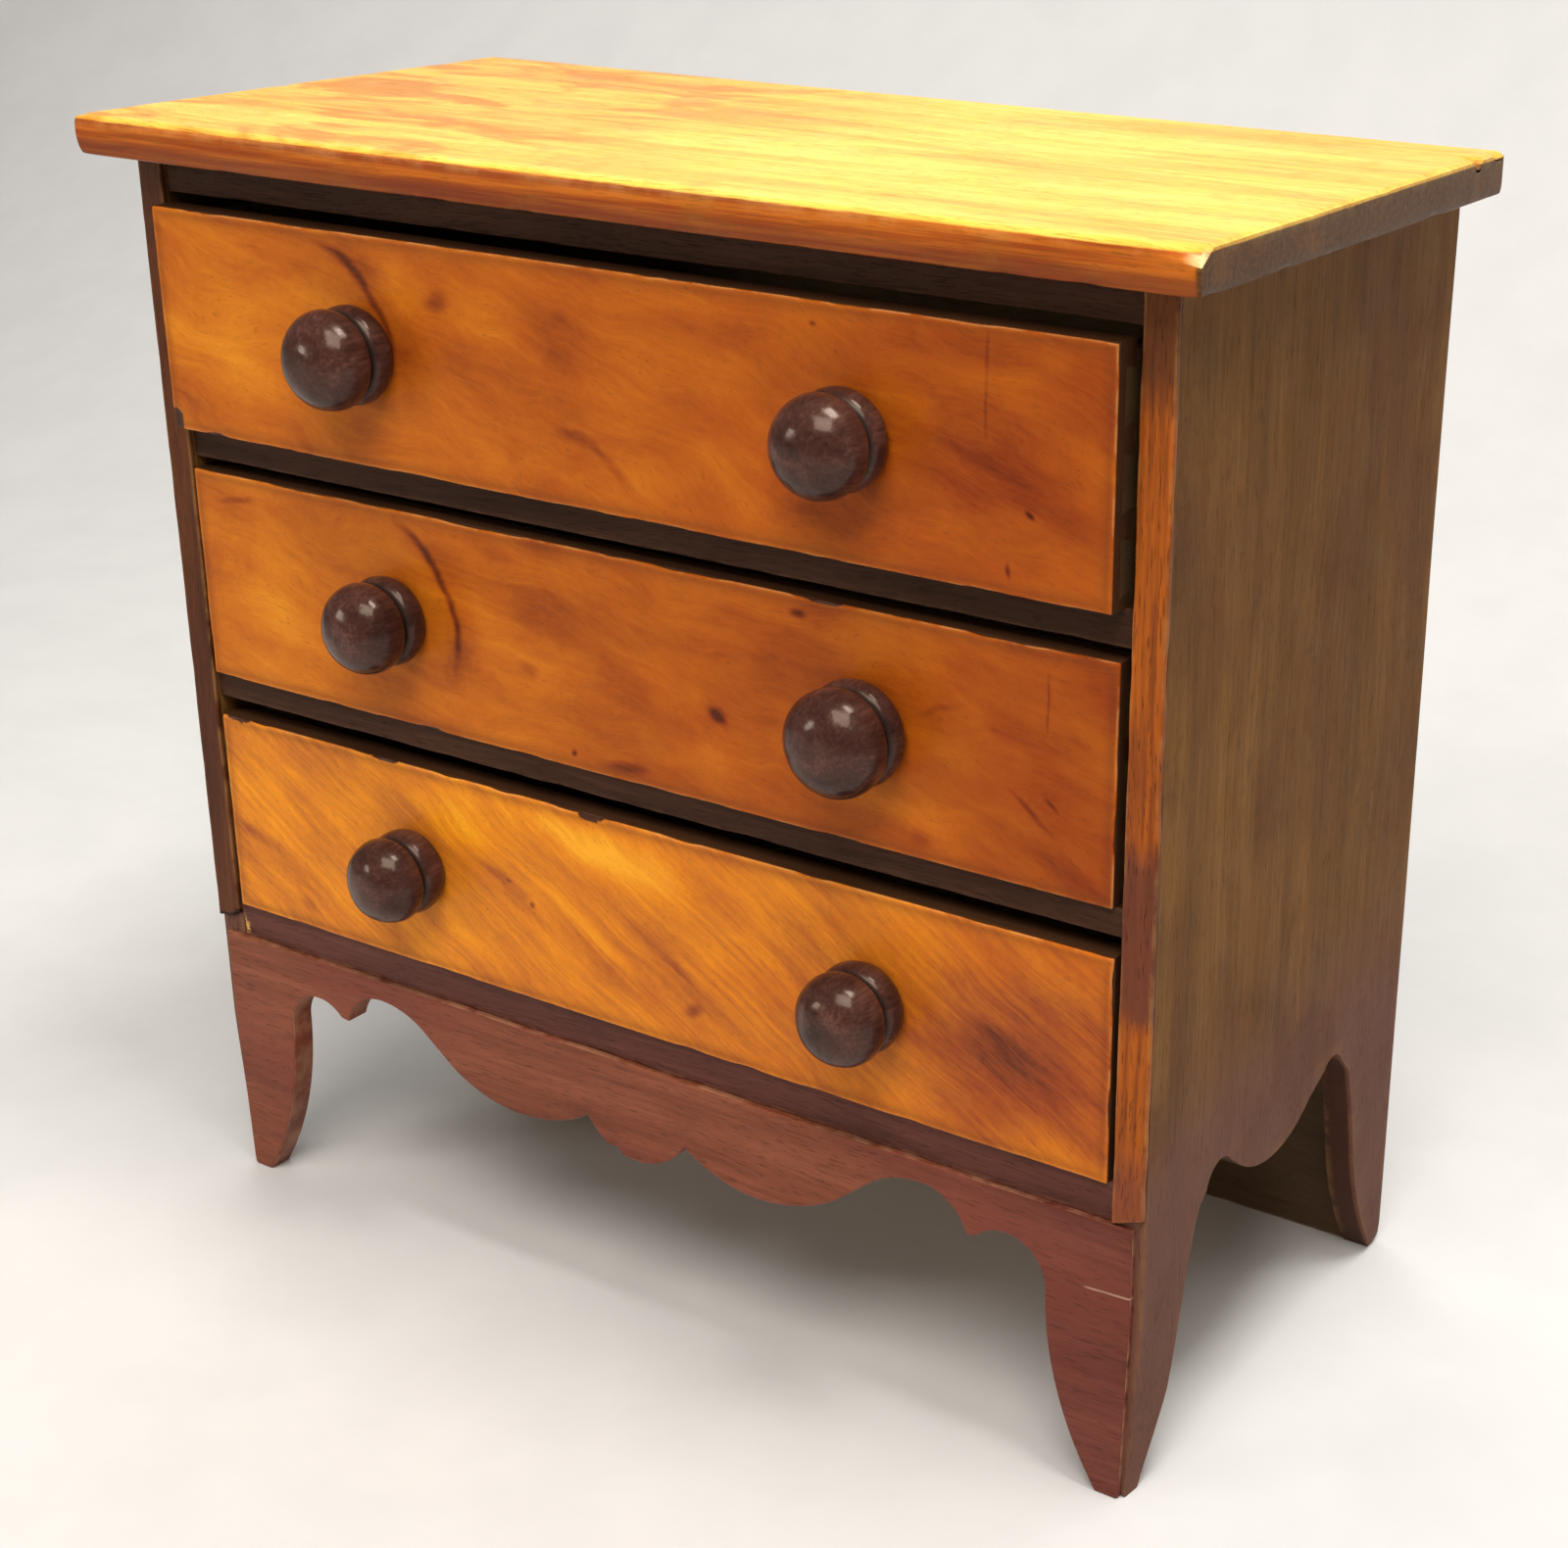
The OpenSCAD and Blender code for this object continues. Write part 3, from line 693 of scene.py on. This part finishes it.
# Marks on each drawer front, in millimetres from its middle. Clouds and spots: place, half size, turn and
# strength. Lines: an arc's centre, radius and width, then the place and half size of its reach, and strength.
TOP_MARKS = {
    "cloud": [(-112, 2, 26, 34, 0, 0.16), (-88, 20, 26, 12, 15, -0.1), (-55, 18, 13, 9, -20, 0.24),
        (-30, 12, 12, 12, 0, 0.06), (-8, 10, 22, 20, 25, -0.14), (22, 16, 26, 12, 0, -0.1),
        (24, -14, 24, 8, 20, 0.14), (-34, -16, 20, 8, -25, 0.1), (72, 12, 16, 16, 0, -0.08),
        (104, 0, 34, 30, 20, -0.1)],
    "spot": [(-42.6, 14.5, 4.5, 3.4, 10, -0.3), (111.7, -10, 1.6, 0.9, -35, -0.5),
        (107.4, -22, 0.9, 2.2, 10, -0.45), (96, 22, 26, 4, 3, -0.18), (60, 22, 1.2, 0.9, 0, -0.4)],
    "line": [(-87, -6, 31, 2, -66, 14, 22, 20, -0.34), (-87, -6, 34, 8, -60, 8, 20, 22, -0.16),
        (-6, -26, 16, 2.2, 2, -13, 16, 12, -0.26), (400, 8, 298.5, 0.7, 101.5, 16, 6, 14, -0.16)],
}
MIDDLE_MARKS = {
    "cloud": [(-112, 0, 30, 34, 0, 0.1), (-25, 8, 16, 14, 30, -0.12), (0, 12, 22, 10, 0, -0.14),
        (4, -2, 14, 12, 0, -0.1), (31, -15, 17, 9, 10, 0.22), (29.6, -5, 7, 5, 0, -0.12),
        (58, 24, 10, 4, 0, -0.18), (95, 14, 32, 16, 0, -0.1), (88, 8, 10, 1.5, 20, -0.16)],
    "spot": [(-118, 21, 9, 1.2, 12, -0.22), (29.6, -5.2, 3.2, 2.5, -15, -0.46), (-26, -5, 4.2, 3, 0, -0.22),
        (-12.6, -23.2, 1.3, 1.1, 30, -0.55), (3, -23.5, 8, 2.6, 10, -0.38), (51.7, 23, 3, 1.3, 0, -0.5),
        (111, -10, 8.5, 1, -38, -0.3), (116, -7, 3, 0.8, -38, -0.3), (84, -22, 4, 3, 20, -0.2)],
    "line": [(-75, -2, 27.5, 2, -52, 11, 22, 24, -0.4), (-75, -2, 30, 8, -50, 6, 20, 24, -0.16),
        (-100, 15, 214.6, 0.6, 114.6, 15, 5, 8, -0.24)],
}
BOTTOM_MARKS = {
    "cloud": [(-118, 8, 20, 20, 0, 0.2), (-50, 14, 22, 14, -20, 0.22), (-8, 18, 40, 11, -10, 0.52),
        (-125, -4, 22, 3, -12, -0.26), (-116, -16, 16, 5, -35, 0.14), (-40, 4, 30, 4, -28, -0.26),
        (-14, -2, 34, 4, -33, 0.22), (14, -6, 30, 4, -33, -0.24), (40, 4, 30, 4, -33, 0.16),
        (62, -6, 28, 4, -33, -0.16), (-62, -8, 26, 4, -30, 0.14), (35, 20, 34, 7, 0, 0.14),
        # the first cloud here, a large dark one at the right end, is partly the veneer's own tone and partly
        # painted shade where the light falls off
        (108, -4, 40, 30, 0, -0.42), (104, 4, 9, 4, -30, 0.1), (60, -14, 26, 12, 0, -0.1)],
    "spot": [(-28.5, -1.2, 1.1, 1, 0, -0.4), (20, -16, 4, 2.4, 30, -0.3), (-106, -20, 4.5, 2, -20, -0.22),
        (-36, 3.4, 1.2, 0.7, 0, -0.25)],
    "line": [(-100, -60, 78, 3.5, -30, -22, 40, 16, -0.08)],
}


# ---- the top

TOP_ROUND = 2.0  # radius of the upper arris
TOP_SKIRT = [(-4, 0), (-2.2, 0), (-1.35, 0), (-1.02, 0.25), (-0.75, 1.4), (-0.35, 2.8), (-0.05, 4.2), (0, 5.6)]
# Chips in the right end: distance from the back, half length, start, reach inwards, depth
TOP_CHIPS = [(14.5, 2.6, 1.2, 5.0, 2.4), (3.0, 4.0, 1.0, 3.2, 1.4)]
END_TRIM = 0.7  # the visual top's right end stands this far inside the CAD one
FLAKE_REACH, FLAKE_LOW, FLAKE_FLOOR = 12, 5.7, 4.4  # the lost corner: extent, its plane and its lowest point


def fine_ends(lo, hi, zone_lo, zone_hi, coarse=2.2, fine=0.7):
    """Grid lines that lie close together near both ends."""
    a = np.arange(lo, lo + zone_lo, fine)
    b = np.arange(hi, hi - zone_hi, -fine)[::-1]
    n = max(1, int(round((b[0] - a[-1]) / coarse)))
    return np.concatenate([a, np.linspace(a[-1], b[0], n + 1)[1:-1], b])


def top_mesh(lo, hi):
    """The top as rings of its edge profile and two gridded faces."""
    r = TOP_ROUND
    profile = [(b, lo[2] + h) for b, h in TOP_SKIRT]
    profile += [(r * math.sin(a) - r, hi[2] - r + r * math.cos(a)) for a in map(math.radians, range(90, -1, -15))]
    profile += [(b, hi[2]) for b in (-2.6, -3.4, -4)]
    inset = profile[0][0]
    xs = fine_ends(lo[0] - inset, hi[0] + inset, 18, 18)
    ys = fine_ends(lo[1] - inset, hi[1], 14, 22)
    n_x, n_y = len(xs) - 1, len(ys) - 1
    ring = [(i, 0) for i in range(n_x)] + [(n_x, j) for j in range(n_y)] \
        + [(i, n_y) for i in range(n_x, 0, -1)] + [(0, j) for j in range(n_y, 0, -1)]
    points, faces, rows = [], [], []
    for b, z in profile:
        rows.append(len(points))
        grow = b - inset
        for i, j in ring:
            x = xs[i] + (grow if i == n_x else -grow if i == 0 else 0)
            points.append((x, ys[j] - (grow if j == 0 else 0), z))
    count = len(ring)
    for r0, r1 in zip(rows, rows[1:]):
        for k in range(count):
            k2 = (k + 1) % count
            faces.append((r0 + k, r0 + k2, r1 + k2, r1 + k))
    for row, z, flip in ((rows[0], lo[2], True), (rows[-1], hi[2], False)):
        index = {key: row + k for k, key in enumerate(ring)}
        for i in range(n_x + 1):
            for j in range(n_y + 1):
                if (i, j) not in index:
                    index[(i, j)] = len(points)
                    points.append((xs[i], ys[j], z))
        for i in range(n_x):
            for j in range(n_y):
                quad = (index[(i, j)], index[(i + 1, j)], index[(i + 1, j + 1)], index[(i, j + 1)])
                faces.append(quad[::-1] if flip else quad)
    return np.array(points), faces


def top_board():
    """The overhanging top: rounded upper arris, worn front corner, chips near the back corner."""
    lo, hi = mm_box("top_board")
    p, faces = top_mesh(lo, hi)
    x, y, z = p.T  # views: they change with p
    plan = [1, 1, 0]
    up = (z - lo[2]) / (hi[2] - lo[2])
    # plan corners softened by handling
    soft = np.where(x > 0, 0.9, 2.2)
    qx = np.clip(x, lo[0] + soft, hi[0] - soft)
    qy = np.maximum(y, lo[1] + soft)
    d = np.hypot(x - qx, y - qy)
    over = np.where(d > soft, soft / np.maximum(d, 1e-6), 1.0)
    x[:] = qx + (x - qx) * over
    y[:] = qy + (y - qy) * over
    # the right end stands upright and crisp, the left end is rounded over and undercut
    right = smooth((x - (hi[0] - 6)) / 3)
    sharp_z = unit((hi[0] - 0.9 - x) / 1.1)
    z += (hi[2] - 0.5 * (1 - sharp_z) - z) * (up > 0.75) * right * smooth((y - lo[1] - 2.5) / 3)
    x[:] = np.where(right > 0, np.minimum(x, hi[0] - END_TRIM), x)
    left = smooth((lo[0] + 5 - x) / 4)
    x += left * (1.2 * unit((up - 0.72) / 0.28) ** 1.5 + unit((0.5 - up) / 0.5))
    side = np.minimum(np.minimum(hi[0] - x, x - lo[0]), y - lo[1])
    rim = np.exp(-np.maximum(side - 1.5, 0) / 1.6)
    upper = smooth(up * 1.6 - 0.6)
    # the front arris is worn down towards the right corner
    drop = 2.6 * unit(1 - (hi[0] - x) / 16) ** 2 * smooth(1 - (y - lo[1]) / 5)
    # nicks along the upper arris, and two chips in the right end
    nick = unit(wander(p * plan, 4, 11) - 0.42) + unit(wander(p * plan, 13, 12) - 0.25) * 0.4
    drop += nick * rim * 0.8
    chip = 0
    for at, half, start, reach, depth in TOP_CHIPS:
        hit = smooth((1 - np.abs(hi[1] - y - at) / half) * 1.6) * smooth(start - (hi[0] - x) / reach)
        drop += depth * hit
        chip = chip + 0.3 * hit
    z -= drop * upper
    # a triangular flake has gone from the front corner
    flake = lo[2] + FLAKE_LOW + 0.85 * (hi[0] - END_TRIM - x) + 0.72 * (y - lo[1]) + wander(p, 2.0, 17) * 0.15
    cut = (z > flake) * (x > hi[0] - FLAKE_REACH)
    z[:] = np.where(cut, np.maximum(flake, lo[2] + FLAKE_FLOOR), z)
    # dents in the lower arris, and a face that is no longer quite flat
    under = 1 - smooth(up * 3)
    z += under * rim * unit(wander(p, 6, 14) - 0.3) * 0.6
    hollow = unit(wander(p * plan, 60, 15) * 0.12 + wander(p * plan, 22, 16) * 0.05 + 0.1)
    z -= hollow * upper * (1 - under)
    z[:] = np.clip(z, lo[2], hi[2])
    top_edge = np.exp(-np.maximum(side - 1.2, 0) / 1.4) * smooth(up * 2.2 - 0.9)
    low_edge = np.exp(-np.maximum(side - 1.2, 0)) * np.exp(-(z - lo[2]) / 0.8) * 0.8
    marks = {"edge": unit(top_edge + low_edge), "chip": unit(chip), "flake": cut * 1.0}
    return finish_mesh("top_board", "_worn", p, faces, "carcass", TOP, marks, 38)


# ---- the case

TOE_TAPER, TOE_Z, TOE_Y = 2.8, 45.0, 28.0  # how much a front toe tapers, and how far up and back it does
CLOSE = 0.35  # outline points nearer than this count as one
SIDE_Z_CUTS = (1.5, 3, 6, 10, 15, 20, 25, 30, 35, 40, 45, 50, 58, 66, 80, 95, 120, 150, 180, 210, 240, 262)
SIDE_Y_CUTS = (4, 8, 12, 16, 20, 24, 28, 36, 48, 60, 72, 84, 96, 108, 120, 128)


def spaced(points, step):
    """An outline without near-doubles, with points at most step apart."""
    out = [points[0]]
    for q in points[1:]:
        if math.dist(out[-1], q) > CLOSE:
            out.append(q)
    if math.dist(out[0], out[-1]) < CLOSE:
        out.pop()
    return resample(out, step)


def arcs(*rows):
    """Arcs end to end, each as centre, radius, first angle, last angle and steps."""
    return [q for row in rows for q in arc(*row)]


def touch(height, radius):
    """The angle from level at which an arc with its centre that high meets the floor."""
    return math.degrees(math.asin(height / radius))


def apron_outline(hi):
    """The apron's outline as (x, z): half the lower edge, mirrored."""
    toe = hi[0] - 0.45 * TOE_TAPER
    half = arcs((0, 61.4, 17.5, -90, -31, 16), (37.3, 85.6, 40, -123, -56, 30), (83.4, 42, 23, 127, 90, 12),
                (83.4, 52, 13, 90, 16, 14), (106.2, 48.8, 10.6, 138, 0, 20),
                (206.8, 48.8, 90, 180, 180 + touch(48.8, 90), 34))
    half += [(toe - 0.9, 0), (toe - 0.25, 0.5), (toe + 0.05, 1.8), (hi[0], TOE_Z), (hi[0], hi[2])]
    return spaced(half + [(-x, z) for x, z in reversed(half)], 6.0)


def apron():
    """The front apron with both front feet, a nick in its lower edge left of the middle."""
    lo, hi = mm_box("apron_board")

    def shape(p):
        x, y, z = p.T
        q = p.copy()
        front = (y - lo[1]) < (hi[1] - lo[1]) / 2
        q[:, 1] += unit(wander(p * [1, 0, 1], 45, 21) * 0.12 + 0.08) * front
        q[:, 2] += wander(p * [1, 0, 1], 16, 22) * 0.18 * (z > 3) * (z < hi[2] - 2)
        nick = np.exp(-((x + 6.3) / 1.2) ** 2) * (z < 50) * front
        return q + nick[:, None] * [0, 0.4, 0.7]

    levels = [(Z, z) for z in (3, 10, 20, 30, 40, 50, 60, 66, hi[2] - 1.2)] \
        + [(X, x) for x in (*range(-130, 131, 10), -8, -7, -6, -5)]
    sawn("apron_board", [(apron_outline(hi), lo[1], hi[1], (True, True))], Y, APRON, levels, shape)


def side_edge(front):
    """A side board's lower edge as (y, z), from the front toe to the back one."""
    edge = arcs((-175.5, 83.3, 200, -touch(83.3, 200), -12.5, 14)) + [(22, 50), (25.3, 61), (27.2, 64.6)]
    edge += arcs((36.5, 65.4, 6.6, 168, 32, 18), (64.6, 89.7, 30.1, -133, -52, 26), (95.8, 65.8, 6.2, 140, 28, 16))
    edge += [(106.2, 63.6), (110.8, 46.5)] + arcs((196.2, 53.1, 85, 193.7, 180 + touch(53.1, 85), 24))
    return [(y + front, z) for y, z in edge]


def side(name, hand):
    """A side board: a rebated inner slab for the back panel, a core, and a lip that covers the apron's end."""
    lo, hi = mm_box(name)
    front = mid_y()
    inner, outer = min(abs(lo[0]), abs(hi[0])), max(abs(lo[0]), abs(hi[0]))
    apron_x, apron_y, apron_z = mm_box("apron_board")[1]
    panel_lo, panel_hi = mm_box("back_panel")
    edge = side_edge(front)
    rear = [(hi[1] - 1.2, 0), (hi[1] - 0.2, 0.8), (hi[1], 2.4), (hi[1], hi[2]), (lo[1], hi[2])]
    notch = [(lo[1], apron_z), (apron_y, apron_z)]
    lip = spaced([(lo[1], 0.6), (lo[1] + 0.5, 0)] + edge + rear, 7.0)
    core = spaced([(apron_y, 0)] + edge + rear + notch, 7.0)
    rebated = spaced([(apron_y, 0)] + edge + [(panel_lo[1], 0), (panel_lo[1], hi[2]), (lo[1], hi[2])] + notch, 7.0)
    slabs = [(rebated, inner, panel_hi[0], (True, False)), (core, panel_hi[0], apron_x, (False, False)),
             (lip, apron_x, outer, (False, True))]
    if hand < 0:
        slabs = [(o, -b, -a, rims[::-1]) for o, a, b, rims in slabs]

    def shape(p):
        x, y, z = p.T
        q = p.copy()
        out, flank = np.abs(x), p * [0, 1, 1]
        taper = np.clip(TOE_TAPER * (1 - z / TOE_Z - (y - lo[1]) / (TOE_Y - (lo[1] - front))), 0, None)
        heel = unit(1 - z / 5) ** 2 * 1.2 * (y > front + 90)
        wave = unit(wander(flank, 70, 31 + hand) * 0.16 + wander(flank, 24, 33 + hand) * 0.05 + 0.12)
        limit = outer - taper - heel - wave * (z > 2)
        q[:, 0] = np.where(out > outer - 1.5, hand * np.minimum(out, limit), x)
        joint = (np.abs(out - apron_x) < 0.05) * (y < apron_y - 0.1)
        q[:, 0] -= hand * joint * 0.45 * TOE_TAPER * unit(1 - z / TOE_Z)
        sawn_part = (z > 3) * (z < apron_z) * (y < hi[1] - 1) * (y > apron_y + 1)
        q[:, 2] += wander(flank, 14, 35) * 0.15 * sawn_part
        return q

    levels = [(Z, z) for z in SIDE_Z_CUTS] + [(Y, front + y) for y in SIDE_Y_CUTS]
    return sawn(name, slabs, X, SIDE, levels, shape)


def broken(p, lo, hi):
    """The left stile has lost its last few millimetres."""
    near = smooth((lo[2] + 9 - p[:, 2]) / 9)
    p[:, 2] += near * (5.0 + 1.3 * wander(p * [1, 1, 0], 2.2, 57) + 0.25 * (p[:, 0] - (lo[0] + hi[0]) / 2))
    return p, near * 0.6 * (near > 0.9)


def skewed(p, lo, hi):
    """The right stile ends in a slanting cut."""
    near = smooth((lo[2] + 8 - p[:, 2]) / 8)
    p[:, 2] += near * (0.4 + 2.8 * (p[:, 0] - lo[0]) / (hi[0] - lo[0]))
    return p, np.zeros(len(p))


def case():
    top_board()
    apron()
    side("side_left", -1)
    side("side_right", 1)
    inner = abs(mm_box("bottom_board")[1][0])
    rails = (("top_rail", RAIL), ("divider_upper", RAIL), ("divider_lower", RAIL), ("bottom_rail", LOW_RAIL))
    for i, (name, mat) in enumerate(rails):
        lo, hi = mm_box(name)
        lo[0], hi[0] = -inner, inner
        hi[2] -= 0.06 if name.startswith("divider") else 0  # clear of the drawer that slides over it
        put_board(name, "carcass", mat, 0.35, 5, lo, hi, wear=0.35, seed=40 + i)
    put_board("stile_left", "carcass", STILE, 0.45, 2.2, seed=60, shape=broken)
    put_board("stile_right", "carcass", STILE, 0.45, 2.2, seed=61, shape=skewed)
    put_board("back_panel", "carcass", BACK, 0.4, 9, seed=60)


# ---- drawers and knobs

SPIGOT, SPIGOT_HOLE, TURNS = 3.5, 3.56, 96  # radii in mm, and facets round a knob


def knob_profile(r, length, groove):
    """Half section of the part of a knob in front of the drawer, as (radius, distance out)."""
    bead_r, neck_r = 0.995 * r, 0.79 * r
    out = []
    for i in range(25):
        a = math.radians(-90 + 180 * i / 24)
        out.append((neck_r + (bead_r - neck_r) * max(0.0, math.cos(a)) ** 0.95, groove / 2 * (1 + math.sin(a))))
    start, dome = groove + 0.35, 0.54 * length
    for i in range(1, 13):
        a = math.radians(90 * i / 12)
        out.append((neck_r + (r - neck_r) * math.sin(a) ** 0.8, dome - (dome - start) * math.cos(a)))
    for i in range(1, 25):
        a = math.radians(90 * i / 24)
        out.append((r * math.cos(a) ** 0.86 if i < 24 else 0.0, dome + (length - dome) * math.sin(a)))
    return out


def knob(name, body, seed, groove):
    """A turned knob and its spigot, spun round Y and a little out of true."""
    lo, hi = mm_box(name)
    cx, cz = (lo[0] + hi[0]) / 2, (lo[2] + hi[2]) / 2
    r = (hi[0] - lo[0]) / 2
    face = mm_box(name.rsplit("_knob", 1)[0] + "_veneer")[0][1]
    length = face - lo[1]
    rings = [(SPIGOT, -(hi[1] - face)), (SPIGOT, -0.02)] + knob_profile(r, length, groove)
    points, groove_mark = [], []
    for k, (rad, out) in enumerate(rings[:-1]):
        for j in range(TURNS):
            a = 2 * math.pi * j / TURNS
            points.append((cx + rad * math.cos(a), face - out, cz + rad * math.sin(a)))
            near = math.exp(-((out - groove) / 0.9) ** 2) if k > 1 else 0.0
            groove_mark.append(max(near, math.exp(-max(out, 0) / 0.8)))
    tip, heel = len(points), len(points) + 1
    points += [(cx, face - length, cz), (cx, hi[1], cz)]
    groove_mark += [0, 0]
    n = len(rings) - 1
    faces = []
    for k in range(n - 1):
        for j in range(TURNS):
            j2 = (j + 1) % TURNS
            faces.append((k * TURNS + j, (k + 1) * TURNS + j, (k + 1) * TURNS + j2, k * TURNS + j2))
    for j in range(TURNS):
        j2 = (j + 1) % TURNS
        faces.append(((n - 1) * TURNS + j, tip, (n - 1) * TURNS + j2))
        faces.append((j, j2, heel))
    p = np.array(points)
    outside = p[:, 1] < face - 0.5
    radial = np.stack([p[:, 0] - cx, np.zeros(len(p)), p[:, 2] - cz], 1)
    wob = wander(p, 9, 70 + seed) * 0.16 + wander(p, 3, 90 + seed) * 0.05
    shift = radial / np.maximum(np.linalg.norm(radial, axis=1), 1.0)[:, None] * (wob - 0.12)[:, None]
    p[outside] += shift[outside]
    tip_zone = unit((face - p[:, 1]) / length) ** 3
    p[:, 1] += tip_zone * (np.abs(wander(p, 7, 110 + seed)) * 0.35)
    polish = KNOB[seed % len(KNOB)]
    return finish_mesh(name, "_turned", p, faces, body, polish, {"groove": groove_mark}, 60)


def drawer(row, marks, tones, seed, lean, grooves, chips, stripe=0.14, wave=1.0, right_tone_and_shade=1.0):
    """A drawer's veneer and knobs. Chips are x, z, half width, half height and depth from the front's middle."""
    body = f"drawer_{row}"
    name = f"{body}_veneer"
    lo, hi = mm_box(name)
    knobs = [mm_box(f"{body}_knob_{s}") for s in ("left", "right")]
    holes = [((a[0] + b[0]) / 2, (a[2] + b[2]) / 2, SPIGOT_HOLE) for a, b in knobs]
    mat = veneer(f"veneer_{row}", (lo[2] + hi[2]) / 2, lo[1], marks, seed, tones, lean, stripe, wave, right_tone_and_shade)

    def shape(p, lo, hi):
        chip, mid = np.zeros(len(p)), (lo + hi) / 2
        for x, z, wide, high, deep in chips:
            away = np.hypot((p[:, 0] - x) / wide, (p[:, 2] - (mid[2] + z)) / high)
            ragged = away + wander(p, 1.6, 130 + seed) * 0.22
            hit = smooth((1.05 - ragged) * 3.0)
            p[:, 1] += hit * deep * (p[:, 1] < hi[1] - 0.05)
            chip = np.maximum(chip, hit)
        face = p[:, 1] < mid[1]
        p[:, 1] += face * (0.5 + 0.5 * wander(p * [1, 0, 1], 40, 140 + seed)) * 0.1
        return p, chip

    put_board(name, body, mat, 0.38, 1.35, holes=holes, wear=0.5, seed=150 + seed, shape=shape)
    for i, s in enumerate(("left", "right")):
        knob(f"{body}_knob_{s}", body, seed * 2 + i, grooves[i])


def plain(nodes, mat, bevel=0.25):
    """Gives CAD nodes that keep their shape a material and softened edges."""
    for name in nodes:
        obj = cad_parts[name]
        obj.data.materials.clear()
        obj.data.materials.append(mat)
        if bevel:
            mod = obj.modifiers.new("soft_edges", "BEVEL")
            mod.width, mod.segments, mod.limit_method = bevel * MM, 2, "ANGLE"
            mod.angle_limit = math.radians(50)


KNOB = [knob_polish(f"knob_polish_{i}", 3.0 * i + 1) for i in range(3)]
case()
drawer("top", TOP_MARKS, TONES, 1, -14, (6.5, 6.6),
       [(-131.5, -25, 2.6, 3.4, 0.55), (-118, -27, 5, 0.8, 0.4)])
drawer("middle", MIDDLE_MARKS, TONES, 2, -8, (6.3, 6.4),
       [(58, 27, 6, 0.9, 0.4), (-60, -27, 8, 0.7, 0.35)])
drawer("bottom", BOTTOM_MARKS, TONES_LOW, 3, -33, (7.6, 7.0),
       [(-9.2, 27.2, 4.6, 2.4, 0.6), (-75, 27, 5, 1.0, 0.5), (-126, 27, 5, 1.2, 0.5)], 0.34, 0.4, 0.35)
for row in ROWS:
    plain([f"drawer_{row}_front"], CORE)
    plain([f"drawer_{row}_side_left", f"drawer_{row}_side_right"], LINING)
    plain([f"drawer_{row}_bottom"], INNER)
    plain([f"drawer_{row}_back"], CROSS)
plain(["glue_block_left", "glue_block_right", "drawer_stops", "bottom_board"], CROSS)
plain([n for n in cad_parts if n.startswith(("runner", "kicker"))], INNER)
plain(["back_brads"], IRON, 0)


# ---- stage, light, camera

def stage():
    """A pale floor that rises into a pale wall behind."""
    reach, front, bend, height = 3.0, -2.2, 0.55, 2.2
    back = CAD_BOX[1][1] + 0.75
    profile = [(front, 0.0), (back - bend, 0.0)]
    profile += [(back - bend + bend * math.sin(math.radians(a)), bend * (1 - math.cos(math.radians(a))))
                for a in range(6, 90, 6)]
    profile += [(back, bend), (back, height)]
    verts = [(x, y, z) for y, z in profile for x in (-reach, reach)]
    faces = [(k, k + 1, k + 3, k + 2) for k in range(0, 2 * len(profile) - 2, 2)]
    s = Shader("pale_floor")
    colour = s.mix(s.span(s.grain(40, 4.0), 0.3, 0.7), (0.66, 0.68, 0.72), (0.69, 0.71, 0.75))
    floor = new_mesh("studio_floor", verts, faces, s.end(colour, 0.85, None, 0, 0.1, 0.25))


def area(name, at, look, size, power, colour):
    """A rectangular lamp that looks at a point, in metres and watts."""
    data = bpy.data.lights.new(name, "AREA")
    data.shape, data.size, data.size_y = "RECTANGLE", size[0], size[1]
    data.energy, data.color = power, colour
    obj = bpy.data.objects.new(name, data)
    obj.location = at
    obj.rotation_euler = (Vector(look) - Vector(at)).to_track_quat("-Z", "Y").to_euler()
    bpy.context.scene.collection.objects.link(obj)


def light():
    heart = (0, 0, 0.15)
    area("key", (0.32, -0.72, 1.2), heart, (0.8, 0.65), 14.0, (1.0, 0.91, 0.78))
    area("lamp", (0.34, -0.06, 1.32), heart, (0.38, 0.38), 11.0, (1.0, 0.94, 0.84))
    area("fill", (-1.15, -1.35, 0.55), heart, (0.45, 0.4), 6.0, (1.0, 0.92, 0.82))
    area("sky", (-0.55, 0.8, 1.15), (0, 0.05, 0.28), (1.2, 0.6), 8, (1.0, 0.93, 0.8))
    world = bpy.data.worlds.new("room")
    bpy.context.scene.world = world
    world.use_nodes = True
    glow = world.node_tree.nodes["Background"].inputs
    glow["Color"].default_value, glow["Strength"].default_value = (1.0, 0.97, 0.93, 1), 0.15


def camera():
    """Seen from the right front and above, as close as someone leaning in."""
    az, el, roll = math.radians(32.216), math.radians(22.421), math.radians(0.578)
    look = Vector((-math.sin(az) * math.cos(el), math.cos(az) * math.cos(el), -math.sin(el)))
    right = look.cross(Vector((0, 0, 1))).normalized()
    up = right.cross(look)
    side = right * math.cos(roll) + up * math.sin(roll)
    over = up * math.cos(roll) - right * math.sin(roll)
    turn = Matrix((side, over, -look)).transposed().to_4x4()
    data = bpy.data.cameras.new("camera")
    data.sensor_width, data.lens = 36, 60.18
    data.shift_x, data.shift_y = -0.1181, 0.0224
    data.clip_start, data.clip_end = 0.01, 20
    obj = bpy.data.objects.new("camera", data)
    obj.matrix_world = Matrix.Translation((0.3681, mid_y() * MM - 0.4321, 0.3704)) @ turn
    bpy.context.scene.collection.objects.link(obj)
    bpy.context.scene.camera = obj


stage()
light()
camera()
bpy.context.scene.view_settings.view_transform = "Standard"
bpy.context.scene.view_settings.look = "None"
